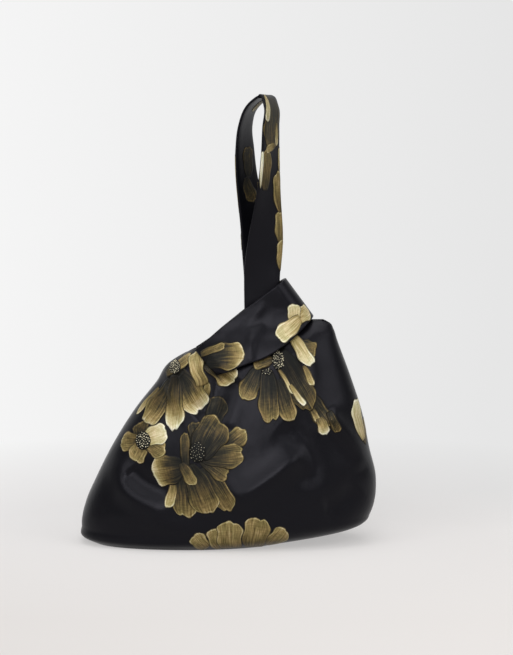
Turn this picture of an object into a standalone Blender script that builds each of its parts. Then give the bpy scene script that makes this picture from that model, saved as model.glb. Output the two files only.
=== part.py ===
"""Soft clutch bag closed by its own handles, in metres, +Z up, standing on z = 0.

The bag is cut as two cloth panels, front (-Y) and back (+Y), sewn at the sides and under the base, over a
loose lining. The long handle rises through the loop of the short handle, which lies folded round its foot as a
knot.
"""

import math
from dataclasses import dataclass

import bmesh
import bpy
import numpy as np

MM = 0.001

# Cloth
PANEL_CLOTH = 1.6 * MM
LINING_CLOTH = 0.8 * MM
SHORT_HANDLE_CLOTH = 2.4 * MM
LONG_HANDLE_CLOTH = 3.0 * MM
SEAM_GAP = 0.3 * MM
LAYER_GAP = 0.7 * MM
LINING_EASE = 0.5 * MM
FOOT_GAP = 0.5 * MM

# Body: how far out it reaches at each share of its height, to the left, to the right, and forward and back
BODY_HEIGHT = 213 * MM
BASE_HALF_DEPTH = 46 * MM
BELLY_HALF_DEPTH = 63 * MM
LEFT_REACH = 140.2 * MM
RIGHT_REACH = 140.2 * MM
LEFT_OUTLINE = [
    (0.000, 0.905),
    (0.023, 0.984),
    (0.075, 1.000),
    (0.183, 0.970),
    (0.291, 0.899),
    (0.455, 0.772),
    (0.615, 0.617),
    (0.723, 0.488),
    (0.808, 0.399),
    (0.864, 0.257),
    (1.183, -0.357),
]
RIGHT_OUTLINE = [
    (0.000, 0.330),
    (0.012, 0.420),
    (0.028, 0.560),
    (0.047, 0.720),
    (0.064, 0.830),
    (0.080, 0.895),
    (0.098, 0.935),
    (0.131, 0.962),
    (0.282, 1.000),
    (0.427, 0.952),
    (0.592, 0.899),
    (0.751, 0.820),
    (0.915, 0.728),
    (0.958, 0.706),
    (0.986, 0.678),
    (1.000, 0.635),
]
DEPTH_SHARES = [
    (0.023, 0.857),
    (0.075, 0.952),
    (0.188, 1.000),
    (0.399, 0.937),
    (0.615, 0.762),
    (0.751, 0.619),
    (0.864, 0.492),
    (0.925, 0.373),
    (0.967, 0.238),
    (0.986, 0.151),
    (1.000, 0.040),
]
SECTION_FULLNESS = 0.8
SEAM_CALM = 2.5
RIM_CALM = 25 * MM
UNDERSIDE_SHARE = 0.9
TOP_TAPER = 6 * MM
TOP_CLOTH_SHARE = 0.3

# Lining
LINING_DROP = 35 * MM
LINING_FULLNESS = 0.8

# Mouth: the side seam ends below the top of the body, and from there the rim of each panel runs to the
# shoulder
SEAM_TOP_DROP = 29 * MM
MOUTH_OVERRUN = 5 * MM
RIM = [(0.0, -36 * MM), (0.2, -20 * MM), (0.45, 2 * MM), (0.65, 26 * MM), (0.83, 48 * MM), (1.0, 66 * MM)]

# Short handle: its edges in the front view, from the root to the fold round the long handle, as (place
# across, height above the top of the body)
LOWER_EDGE = [
    (-11 * MM, -50 * MM),
    (13 * MM, -40 * MM),
    (35 * MM, -32 * MM),
    (54 * MM, -20 * MM),
    (80.5 * MM, 3 * MM),
]
UPPER_EDGE = [(-32 * MM, -26 * MM), (8 * MM, 5.5 * MM), (53.5 * MM, 39.5 * MM)]
FOLD_EASE = 4.1 * MM
FOLD_ROUND = 14 * MM
ROOT_TAPER = 30 * MM
ROOT_CLOTH = 0.6 * MM
ROOT_LIFT = 1.4 * MM
PANEL_RECESS = 2.3 * MM
RIM_RECESS = 4 * MM
RIM_RECESS_SHARE = 1 / 3
RECESS_REACH = 12 * MM
FREE_OF_HANDLE = 4 * RECESS_REACH
BACK_DROP = 4 * MM
BACK_DROP_START = 6

# Long handle: each foot lies against the inside of its panel. The stations above are (place across, height
# above the top of the body, distance from the middle plane, turn of the strap in degrees, width), up one strand
FOOT_DROP = 26 * MM
FOOT_MIDDLE = 33 * MM
FOOT_STATIONS = [0.0, 0.4]
NECK_HALF_DEPTH = 4.2 * MM
FRONT_STRAND = [
    (31.8 * MM, -6 * MM, 1.8 * MM, 0, 34 * MM),
    (31.2 * MM, 19 * MM, 0.2 * MM, 0, 33.5 * MM),
    (31.2 * MM, 41 * MM, 0, 2, 34 * MM),
    (34.6 * MM, 77 * MM, 1.2 * MM, 20, 34.5 * MM),
    (37 * MM, 112 * MM, 2.4 * MM, 42, 32 * MM),
    (38.8 * MM, 152 * MM, 2.8 * MM, 57, 31 * MM),
    (39.5 * MM, 182 * MM, 2.8 * MM, 61, 31 * MM),
    (40.2 * MM, 199 * MM, 2 * MM, 65, 31 * MM),
]
BACK_STRAND = [
    (26.5 * MM, 205 * MM, -2 * MM, 69, 31 * MM),
    (19.8 * MM, 197 * MM, 1.2 * MM, 70, 31 * MM),
    (15.6 * MM, 183 * MM, 2.6 * MM, 67, 31 * MM),
    (15 * MM, 160 * MM, 3 * MM, 57, 31 * MM),
    (17.3 * MM, 130 * MM, 2.8 * MM, 48, 31 * MM),
    (20.6 * MM, 112 * MM, 2.6 * MM, 41, 32 * MM),
    (26.2 * MM, 85 * MM, 1.6 * MM, 25, 33.5 * MM),
    (29.4 * MM, 60 * MM, 0.8 * MM, 9, 34 * MM),
    (31 * MM, 41 * MM, 0, 2, 34 * MM),
    (31 * MM, 19 * MM, 0.2 * MM, 0, 33.5 * MM),
    (31.8 * MM, -6 * MM, 1.8 * MM, 0, 34 * MM),
]
STRAP_SECTION = [(1, 0), (0.955, 0.75), (0.8, 1), (0, 1), (-0.8, 1), (-0.955, 0.75)]
LOOP_TOP = (35 * MM, 210 * MM, -1 * MM, 69, 31 * MM)

# Mesh steps
PANEL_COLUMNS = 28
LINING_COLUMNS = 14
SEAM_CROWDING = 0.6
BODY_ROWS = [0, 0.011, 0.031, 0.056, 0.083, 0.118, 0.169, 0.23, 0.298, 0.365, 0.433, 0.5, 0.567, 0.629, 0.685, 0.742]
BODY_ROWS += [0.798, 0.854, 0.91, 0.961, 1]
RIM_ROWS = [0.1, 0.25, 0.45, 0.65, 0.8, 0.9, 1]
UNDERSIDE_ROWS = [0.0, 0.34, 0.67]
HANDLE_COLUMNS = 14
HANDLE_ROWS = 6
FOLD_COLUMNS = 5
STRAP_STEPS = 46
EDGE_SAMPLES = 61
FOLD_SAMPLES = 13
FOLD_END = 0.2
FOLD_END_LIFT = 0.25
SHARP_ANGLE = 50
SAME_POINT = 0.02 * MM


@dataclass
class Fold:
    """A ridge (lift above 0) or a valley, along a bent line of (place across, share of the height)."""

    start: tuple
    bend: tuple
    end: tuple
    width: float
    lift: float

    def height(self, x, z):
        """Rise of the cloth at the points x, z."""
        steps = np.linspace(0, 1, FOLD_SAMPLES)[:, None]
        start, bend, end = (np.array(point) * (1, BODY_HEIGHT) for point in (self.start, self.bend, self.end))
        line = (1 - steps) ** 2 * start + 2 * steps * (1 - steps) * bend + steps**2 * end
        here = np.stack([x, z], -1)[..., None, :]
        away = np.linalg.norm(here - line, axis=-1)
        nearest = away.argmin(-1) / (FOLD_SAMPLES - 1)
        ends = np.clip(np.minimum(nearest, 1 - nearest) / FOLD_END + FOLD_END_LIFT, 0, 1)
        return self.lift * ends * np.exp(-((away.min(-1) / self.width) ** 2))


FRONT_FOLDS = [
    Fold((-62 * MM, 0.704), (-45 * MM, 0.742), (-25 * MM, 0.789), 26 * MM, 7 * MM),
    Fold((0 * MM, 0.775), (-6 * MM, 0.685), (-28 * MM, 0.575), 12 * MM, -8 * MM),
    Fold((-104 * MM, 0.423), (-114 * MM, 0.235), (-50 * MM, 0.169), 11 * MM, 6 * MM),
    Fold((-92 * MM, 0.366), (-82 * MM, 0.300), (-52 * MM, 0.263), 11 * MM, -5 * MM),
    Fold((0 * MM, 0.216), (36 * MM, 0.310), (72 * MM, 0.451), 13 * MM, 6 * MM),
    Fold((48 * MM, 0.563), (74 * MM, 0.460), (78 * MM, 0.272), 10 * MM, -5 * MM),
    Fold((90 * MM, 0.620), (118 * MM, 0.479), (130 * MM, 0.347), 12 * MM, 6 * MM),
    Fold((88 * MM, 0.188), (108 * MM, 0.216), (124 * MM, 0.272), 11 * MM, -4 * MM),
    Fold((62 * MM, 0.920), (70 * MM, 0.826), (68 * MM, 0.704), 9 * MM, -3 * MM),
]
BACK_FOLDS = [
    Fold((-55 * MM, 0.704), (-40 * MM, 0.751), (-18 * MM, 0.789), 26 * MM, 6 * MM),
    Fold((0 * MM, 0.775), (-8 * MM, 0.676), (-34 * MM, 0.550), 12 * MM, -7 * MM),
    Fold((-108 * MM, 0.329), (-80 * MM, 0.207), (-30 * MM, 0.169), 12 * MM, 6 * MM),
    Fold((30 * MM, 0.610), (44 * MM, 0.432), (20 * MM, 0.235), 12 * MM, -5 * MM),
    Fold((90 * MM, 0.638), (112 * MM, 0.469), (118 * MM, 0.263), 12 * MM, 6 * MM),
    Fold((-10 * MM, 0.451), (0 * MM, 0.329), (-6 * MM, 0.188), 13 * MM, 6.5 * MM),
]


def along(stations, at):
    """Smooth value at the given places of a list of (place, value)."""
    place, value = np.array(stations, float).T
    slope = np.gradient(value, place)
    at = np.clip(np.asarray(at, float), place[0], place[-1])
    i = np.clip(np.searchsorted(place, at, side="right") - 1, 0, len(place) - 2)
    step = place[i + 1] - place[i]
    t = (at - place[i]) / step
    t2, t3 = t * t, t * t * t
    start = (2 * t3 - 3 * t2 + 1) * value[i] + (t3 - 2 * t2 + t) * step * slope[i]
    return start + (3 * t2 - 2 * t3) * value[i + 1] + (t3 - t2) * step * slope[i + 1]


def curve_through(points, count):
    """Points spread over a smooth curve through the given ones, in any number of dimensions."""
    points = np.array(points, float)
    length = np.r_[0, np.cumsum(np.linalg.norm(np.diff(points[:, :2], axis=0), axis=1))]
    where = np.linspace(0, length[-1], count)
    return np.stack([along(np.stack([length, column], 1), where) for column in points.T], 1)


def section(height):
    """Left edge, right edge, half depth and overrun of the mouth at a height."""
    share = height / BODY_HEIGHT
    depths = [(0.0, BASE_HALF_DEPTH)] + [(place, BELLY_HALF_DEPTH * part) for place, part in DEPTH_SHARES]
    left, right = -LEFT_REACH * along(LEFT_OUTLINE, share), RIGHT_REACH * along(RIGHT_OUTLINE, share)
    overrun = np.clip((height - BODY_HEIGHT + SEAM_TOP_DROP) / (SEAM_TOP_DROP / 2), 0, 1) * MOUTH_OVERRUN
    return left, right, along(depths, share), overrun


def above_body(points):
    """Points of the front view with heights counted from the ground, not from the top of the body."""
    return [(point[0], BODY_HEIGHT + point[1], *point[2:]) for point in points]


def columns_across(columns):
    """Where the columns of a grid lie across the body, from -1 to 1, closer together at the seams."""
    even = np.linspace(-1, 1, columns + 1)
    return (1 - SEAM_CROWDING) * even + SEAM_CROWDING * np.sin(even * math.pi / 2)


def body_depth(x, height, folds):
    """Distance of the outer cloth from the middle plane at a point of the front view."""
    left, right, depth, overrun = section(height)
    middle, half = (left - overrun + right) / 2, (right - left + overrun) / 2
    inside = np.clip(1 - ((x - middle) / half) ** 2, 0, 1)
    bulge = depth * inside ** (SECTION_FULLNESS / 2)
    near_seam = np.clip(inside * SEAM_CALM, 0, 1)
    raised = sum(fold.height(x, height) for fold in folds)
    near_rim = np.clip((BODY_HEIGHT - height) / RIM_CALM, 0, 1)
    return bulge + raised * near_seam * near_rim


def beyond(line, x, height):
    """Distance of a point to the left of a straight line drawn from its first end to its second."""
    (x0, z0), (x1, z1) = line
    length = math.hypot(x1 - x0, z1 - z0)
    return ((x1 - x0) * (height - z0) - (z1 - z0) * (x - x0)) / length


def handle_depth(x, height, folds):
    """Distance of the outside of the short handle from the middle plane, rounded off at its fold."""
    over_body = body_depth(x, height, folds) * (height < BODY_HEIGHT)
    lower, upper = above_body(LOWER_EDGE), above_body(UPPER_EDGE)
    from_root = np.clip(-beyond([lower[0], upper[0]], x, height) / ROOT_TAPER, 0, 1)
    lift = ROOT_LIFT + (SHORT_HANDLE_CLOTH - ROOT_LIFT) * from_root
    round_strap = NECK_HALF_DEPTH + LONG_HANDLE_CLOTH / 2 + FOLD_EASE + SHORT_HANDLE_CLOTH
    depth = np.maximum(over_body + lift, round_strap * from_root)
    to_fold = np.clip(1 - beyond([lower[-1], upper[-1]], x, height) / FOLD_ROUND, 0, 1)
    return depth * np.sqrt(1 - to_fold**2)


def panel_depth(x, height, folds):
    """Distance of the outer cloth of a panel from the middle plane: it gives way under the short handle."""
    lower, upper = above_body(LOWER_EDGE), above_body(UPPER_EDGE)
    slope = math.atan2(lower[-1][1] - lower[0][1], lower[-1][0] - lower[0][0])
    above = (height - along(lower, x)) * math.cos(slope)
    above = np.where(x < lower[0][0], RECESS_REACH, above)
    inside = -beyond([lower[0], upper[0]], x, height)
    cover = np.clip(1 + above / RECESS_REACH, 0, 1) * np.clip(1 + inside / RECESS_REACH, 0, 1)
    left, right, _, overrun = section(height)
    at_rim = np.clip(1 - (x - left + overrun) / (right - left + overrun) / RIM_RECESS_SHARE, 0, 1)
    free = body_depth(x, height, folds) - (PANEL_RECESS + RIM_RECESS * at_rim) * cover
    limit = handle_depth(x, height, folds) - SHORT_HANDLE_CLOTH - LAYER_GAP + (1 - cover) * FREE_OF_HANDLE
    return np.maximum(np.minimum(free, limit), 0)


def body_grid(side, folds, heights, columns, underside):
    """Outer points of one half of the body, from the seam under the base to the top edge."""
    across = columns_across(columns)
    rows = []
    for share in underside:
        left, right, depth, _ = section(0.0)
        middle = (left + right) / 2
        half = (right - left) / 2 * (UNDERSIDE_SHARE + (1 - UNDERSIDE_SHARE) * share)
        x = middle + half * across
        y = share * depth * (1 - across**2) ** (SECTION_FULLNESS / 2)
        rows.append(np.stack([x, side * y, np.zeros_like(x)], 1))
    for height in heights:
        low, high, _, _ = section(height)
        if height > BODY_HEIGHT - SEAM_TOP_DROP:
            low = along(RIM, 1 - (BODY_HEIGHT - height) / SEAM_TOP_DROP)
        x = (low + high) / 2 + (high - low) / 2 * across
        y = panel_depth(x, np.full_like(x, height), folds)
        rows.append(np.stack([x, side * y, np.full_like(x, height)], 1))
    return np.array(rows)


def normals(grid):
    """Unit normals of a grid of points."""
    across = np.gradient(grid, axis=1)
    up = np.gradient(grid, axis=0)
    normal = np.cross(across, up)
    return normal / np.maximum(np.linalg.norm(normal, axis=-1, keepdims=True), 1e-12)


def body_normals(grid, side, closed_rows):
    """Normals of half a body: the other half is its mirror image, so the seams have no kink."""
    mirror = grid * (1, -1, 1)
    wide = np.concatenate([mirror[:, 1:2], grid, mirror[:, -2:-1]], axis=1)
    tall = np.concatenate([np.concatenate([mirror[1:2, :1], mirror[1:2], mirror[1:2, -1:]], axis=1), wide])
    closed = normals(tall)[1:, 1:-1]
    opened = normals(grid)
    opened[0] = closed[0]
    found = closed.copy()
    found[closed_rows:, 0] = opened[closed_rows:, 0]
    found = found * -side
    found[: len(UNDERSIDE_ROWS)] = (0, 0, -1)
    return found


def solid_sheet(name, outer, inner, material):
    """An object whose solid lies between two grids of points with as many rows and columns."""
    rows, columns = outer.shape[:2]
    made = bmesh.new()
    near = [[made.verts.new(point) for point in row] for row in outer]
    far = [[made.verts.new(point) for point in row] for row in inner]
    for i in range(rows - 1):
        for j in range(columns - 1):
            made.faces.new((near[i][j], near[i][j + 1], near[i + 1][j + 1], near[i + 1][j]))
            made.faces.new((far[i][j], far[i + 1][j], far[i + 1][j + 1], far[i][j + 1]))
    rim = [(0, j) for j in range(columns)] + [(i, columns - 1) for i in range(1, rows)]
    rim += [(rows - 1, j) for j in range(columns - 2, -1, -1)] + [(i, 0) for i in range(rows - 2, 0, -1)]
    for (i, j), (k, m) in zip(rim, rim[1:] + rim[:1]):
        made.faces.new((near[k][m], near[i][j], far[i][j], far[k][m]))
    return place(name, made, material)


def place(name, made, material):
    """Puts a closed mesh in the scene, facing outwards, smooth, with its material."""
    bmesh.ops.recalc_face_normals(made, faces=made.faces)
    if made.calc_volume(signed=True) < 0:
        bmesh.ops.reverse_faces(made, faces=made.faces)
    mesh = bpy.data.meshes.new(name)
    made.to_mesh(mesh)
    made.free()
    mesh.materials.append(material)
    mesh.shade_smooth()
    mesh.set_sharp_from_angle(angle=math.radians(SHARP_ANGLE))
    placed = bpy.data.objects.new(name, mesh)
    bpy.context.scene.collection.objects.link(placed)
    return placed


def cloth(name, colour, roughness, metallic):
    """A cloth material."""
    made = bpy.data.materials.new(name)
    made.use_nodes = True
    shader = made.node_tree.nodes["Principled BSDF"]
    shader.inputs["Base Color"].default_value = (*colour, 1)
    shader.inputs["Roughness"].default_value = roughness
    shader.inputs["Metallic"].default_value = metallic
    return made


def clear_of_middle(grid, side, gap):
    """Keeps a half of the body on its own side of the middle plane."""
    kept = grid.copy()
    kept[..., 1] = side * np.maximum(side * kept[..., 1], gap / 2)
    return kept


def make_panel(name, side, folds, material):
    """One outer panel: a sheet from the seam under the base to the rim."""
    seam_top = BODY_HEIGHT - SEAM_TOP_DROP
    heights = [row * seam_top for row in BODY_ROWS] + [seam_top + row * SEAM_TOP_DROP for row in RIM_ROWS]
    grid = body_grid(side, folds, heights, PANEL_COLUMNS, UNDERSIDE_ROWS)
    closed_rows = len(UNDERSIDE_ROWS) + len(BODY_ROWS)
    outward = body_normals(grid, side, closed_rows)
    thick = PANEL_CLOTH * np.clip((BODY_HEIGHT - grid[..., 2:]) / TOP_TAPER, TOP_CLOTH_SHARE, 1)
    inner = grid - outward * thick
    outer, inner = (clear_of_middle(face, side, SEAM_GAP) for face in (grid, inner))
    return solid_sheet(name, outer, inner, material)


def make_lining(material):
    """The loose inner bag, one piece, with some ease inside the panels."""
    seam_top, lining_top = BODY_HEIGHT - SEAM_TOP_DROP, BODY_HEIGHT - LINING_DROP
    heights = [row * seam_top for row in BODY_ROWS if row * seam_top < lining_top] + [lining_top]
    halves = []
    for side in (-1, 1):
        grid = body_grid(side, [], heights, LINING_COLUMNS, UNDERSIDE_ROWS)
        grid[..., 1] *= LINING_FULLNESS
        halves.append((grid, body_normals(grid, side, len(grid))))
    shells = []
    for inset in (PANEL_CLOTH + LINING_EASE, PANEL_CLOTH + LINING_EASE + LINING_CLOTH):
        shell = []
        for side, (grid, outward) in zip((-1, 1), halves):
            shell.append(clear_of_middle(grid - outward * inset, side, 0))
        shells.append(shell)
    made = bmesh.new()
    for shell in shells:
        for grid in shell:
            points = [[made.verts.new(point) for point in row] for row in grid]
            for i in range(len(points) - 1):
                for j in range(LINING_COLUMNS):
                    made.faces.new((points[i][j], points[i][j + 1], points[i + 1][j + 1], points[i + 1][j]))
    rims = [[grid[-1] for grid in shell] for shell in shells]
    for half in (0, 1):
        outer = [made.verts.new(point) for point in rims[0][half]]
        inner = [made.verts.new(point) for point in rims[1][half]]
        for j in range(LINING_COLUMNS):
            made.faces.new((outer[j], outer[j + 1], inner[j + 1], inner[j]))
    bmesh.ops.remove_doubles(made, verts=made.verts, dist=SAME_POINT)
    return place("lining", made, material)


def short_handle_half(side, folds):
    """Outer points of the short handle on one side and its cloth there, from its root to the fold."""
    turn = np.linspace(0, math.pi / 2, FOLD_COLUMNS + 1)
    straight = np.linspace(0, 1, HANDLE_COLUMNS - FOLD_COLUMNS + 1)
    samples = np.linspace(0, 1, EDGE_SAMPLES)
    lower, upper = (curve_through(above_body(edge), EDGE_SAMPLES) for edge in (LOWER_EDGE, UPPER_EDGE))
    rows, cloth_there = [], []
    for across in np.linspace(0, 1, HANDLE_ROWS + 1):
        line = (1 - across) * lower + across * upper
        length = np.r_[0, np.cumsum(np.hypot(*np.diff(line, axis=0).T))]
        fold_start = length[-1] - FOLD_ROUND
        reach = np.r_[straight * fold_start, fold_start + FOLD_ROUND * np.sin(turn[1:])]
        share = np.interp(reach, length, samples)
        x, height = (np.interp(share, samples, line[:, k]) for k in (0, 1))
        drop = BACK_DROP * (side > 0) * across * (1 - share)
        height = height - drop * np.clip(share * BACK_DROP_START, 0, 1)
        depth = handle_depth(x, height, folds)
        depth[-1] = 0
        rows.append(np.stack([x, side * depth, height], 1))
        taper = np.clip(reach / ROOT_TAPER, 0, 1)
        cloth_there.append(ROOT_CLOTH + (SHORT_HANDLE_CLOTH - ROOT_CLOTH) * taper)
    return np.array(rows), np.array(cloth_there)


def make_short_handle(material):
    """The loop of the short handle, folded round the foot of the long one: front half, fold, back half."""
    front, front_cloth = short_handle_half(-1, FRONT_FOLDS)
    back, back_cloth = short_handle_half(1, BACK_FOLDS)
    grid = np.concatenate([front, back[:, -2::-1]], axis=1)
    thick = np.concatenate([front_cloth, back_cloth[:, -2::-1]], axis=1)
    return solid_sheet("short_handle", grid, grid - normals(grid) * thick[..., None], material)


def strand_foot(above, side, folds):
    """Stations of a strand inside the body, from its foot, on the panel, to below the given station."""
    half_width = above[4] / 2
    edges = np.array([FOOT_MIDDLE - half_width, FOOT_MIDDLE, FOOT_MIDDLE + half_width])
    stations = []
    for share in FOOT_STATIONS:
        height = BODY_HEIGHT - FOOT_DROP + (above[1] + FOOT_DROP) * share
        inside = panel_depth(edges, np.full(3, height), folds).min() - PANEL_CLOTH - LONG_HANDLE_CLOTH / 2
        away = FOOT_GAP + 2 * LONG_HANDLE_CLOTH * share
        middle = FOOT_MIDDLE + (above[0] - FOOT_MIDDLE) * share
        stations.append((middle, height, side * (inside - away), above[3], above[4]))
    return stations


def make_long_handle(material):
    """The long handle: a flat padded strap bent into a loop, with rounded edges."""
    front = [(x, z, -NECK_HALF_DEPTH - out, *rest) for x, z, out, *rest in above_body(FRONT_STRAND)]
    back = [(x, z, NECK_HALF_DEPTH + out, *rest) for x, z, out, *rest in above_body(BACK_STRAND)]
    front = strand_foot(FRONT_STRAND[0], -1, FRONT_FOLDS) + front
    back = back + strand_foot(BACK_STRAND[-1], 1, BACK_FOLDS)[::-1]
    stations = np.array(front + above_body([LOOP_TOP]) + back, float)[:, [0, 2, 1, 3, 4]]
    length = np.r_[0, np.cumsum(np.linalg.norm(np.diff(stations[:, :3], axis=0), axis=1))]
    where = np.linspace(0, length[-1], STRAP_STEPS + 1)
    line = np.stack([along(np.stack([length, column], 1), where) for column in stations.T], 1)
    forward = np.gradient(line[:, :3], axis=0)
    forward /= np.linalg.norm(forward, axis=1, keepdims=True)
    turn = np.radians(line[:, 3])
    wide = np.stack([np.cos(turn), np.sin(turn), np.zeros_like(turn)], 1)
    wide -= forward * (wide * forward).sum(1, keepdims=True)
    wide /= np.linalg.norm(wide, axis=1, keepdims=True)
    outward = np.cross(forward, wide)
    half_width, half_cloth = line[:, 4] / 2, LONG_HANDLE_CLOTH / 2
    profile = STRAP_SECTION + [(-across, -out) for across, out in STRAP_SECTION]
    made = bmesh.new()
    rings = []
    for k, point in enumerate(line[:, :3]):
        ring = [point + wide[k] * half_width[k] * a + outward[k] * half_cloth * b for a, b in profile]
        rings.append([made.verts.new(corner) for corner in ring])
    count = len(profile)
    for low, high in zip(rings, rings[1:]):
        for k in range(count):
            made.faces.new((low[k], low[(k + 1) % count], high[(k + 1) % count], high[k]))
    made.faces.new(rings[0])
    made.faces.new(rings[-1])
    return place("long_handle", made, material)


def main():
    """Builds the bag."""
    for old in list(bpy.data.objects):
        bpy.data.objects.remove(old)
    satin = cloth("black_brocade", (0.012, 0.012, 0.016), 0.42, 0.0)
    inside = cloth("black_lining", (0.02, 0.02, 0.024), 0.6, 0.0)
    make_panel("front_panel", -1, FRONT_FOLDS, satin)
    make_panel("back_panel", 1, BACK_FOLDS, satin)
    make_lining(inside)
    make_short_handle(satin)
    make_long_handle(satin)


if __name__ == "__main__":
    main()
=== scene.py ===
"""Soft clutch bag in black satin brocade with gold flowers, closed by its own handles.

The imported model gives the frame, in metres: X to the right, Y away from the viewer, Z up. The cloth of the
body, of the short handle and of the long handle is modelled finely over it, and the woven flowers lie on it.
"""

import logging
import math
from collections.abc import Sequence
from dataclasses import dataclass, field
from enum import Enum

import bmesh
import bpy
import numpy as np
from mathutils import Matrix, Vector, noise


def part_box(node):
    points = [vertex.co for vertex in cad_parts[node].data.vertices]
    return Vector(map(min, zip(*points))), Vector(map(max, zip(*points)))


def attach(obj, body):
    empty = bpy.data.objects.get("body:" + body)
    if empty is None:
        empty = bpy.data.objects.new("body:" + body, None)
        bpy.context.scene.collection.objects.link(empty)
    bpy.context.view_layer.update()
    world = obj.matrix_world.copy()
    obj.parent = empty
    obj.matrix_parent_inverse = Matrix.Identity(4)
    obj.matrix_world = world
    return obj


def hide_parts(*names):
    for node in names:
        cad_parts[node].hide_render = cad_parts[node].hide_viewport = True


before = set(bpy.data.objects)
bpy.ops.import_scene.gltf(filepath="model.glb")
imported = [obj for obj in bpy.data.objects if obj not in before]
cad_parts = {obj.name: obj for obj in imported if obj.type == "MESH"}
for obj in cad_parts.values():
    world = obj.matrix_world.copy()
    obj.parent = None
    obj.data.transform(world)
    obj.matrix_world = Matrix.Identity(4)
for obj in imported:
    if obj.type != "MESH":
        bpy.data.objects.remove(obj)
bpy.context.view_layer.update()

log = logging.getLogger("clutch")

MM = 0.001

Points = np.ndarray
Pair = tuple[float, float]
Spot = tuple[float, float, float]
Colour = tuple[float, float, float]
Stations = Sequence[tuple[float, ...]] | np.ndarray


class Side(Enum):
    """The two halves of the bag, with the sign of their Y."""

    FRONT = -1
    BACK = 1


class Face(Enum):
    """The two faces of the long handle, with the sign of their distance from its middle."""

    OUTER = -1
    INNER = 1


class Held(Enum):
    """What keeps a sheet in its shape."""

    GATHERED = "gathered"
    FOLDED = "folded"


class Slot(Enum):
    """The record's names for the two cloths."""

    BROCADE = "black_brocade"
    LINING = "black_lining"


# Curves


def along(stations: Stations, at: Points) -> Points:
    """Smooth value at the given places of a list of stations.

    Args:
        stations: pairs of place and value, in rising order of place.
        at: the places asked for.

    Returns:
        The value at each place.
    """
    place, value = np.array(stations, float).T
    slope = np.gradient(value, place)
    at = np.clip(np.asarray(at, float), place[0], place[-1])
    i = np.clip(np.searchsorted(place, at, side="right") - 1, 0, len(place) - 2)
    step = place[i + 1] - place[i]
    t = (at - place[i]) / step
    t2, t3 = t * t, t * t * t
    start = (2 * t3 - 3 * t2 + 1) * value[i] + (t3 - 2 * t2 + t) * step * slope[i]
    return start + (3 * t2 - 2 * t3) * value[i + 1] + (t3 - t2) * step * slope[i + 1]


def run(points: Points) -> Points:
    """How far along a line each of its points lies from the first."""
    return np.r_[0, np.cumsum(np.linalg.norm(np.diff(points, axis=0), axis=1))]


def curve_through(points: Stations, count: int, space: int = 2) -> Points:
    """Points spread evenly over a smooth curve through the given ones.

    Args:
        points: the points, each with its place first and then any further values.
        count: how many to return.
        space: how many of a point's values are its place.

    Returns:
        An array of count points.
    """
    points = np.array(points, float)
    length = run(points[:, :space])
    where = np.linspace(0, length[-1], count)
    return np.stack([along(np.stack([length, column], 1), where) for column in points.T], 1)


def unit(vectors: Points) -> Points:
    """The given vectors, each made one long."""
    return vectors / np.maximum(np.linalg.norm(vectors, axis=-1, keepdims=True), 1e-12)


def grid_normals(grid: Points) -> Points:
    """Unit normals of a grid of points, rows by columns."""
    return unit(np.cross(np.gradient(grid, axis=1), np.gradient(grid, axis=0)))


def ripple(x: Points, z: Points, scale: float, seed: float) -> Points:
    """Soft unevenness of cloth, from -1 to 1.

    Args:
        x: places across, in metres.
        z: heights, in metres.
        scale: how far apart the waves lie.
        seed: picks another field of waves.

    Returns:
        The rise at each place.
    """
    flat = np.stack([np.ravel(x) / scale, np.ravel(z) / scale], 1)
    return np.array([noise.noise(Vector((a, b, seed))) for a, b in flat]).reshape(np.shape(x))


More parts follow.
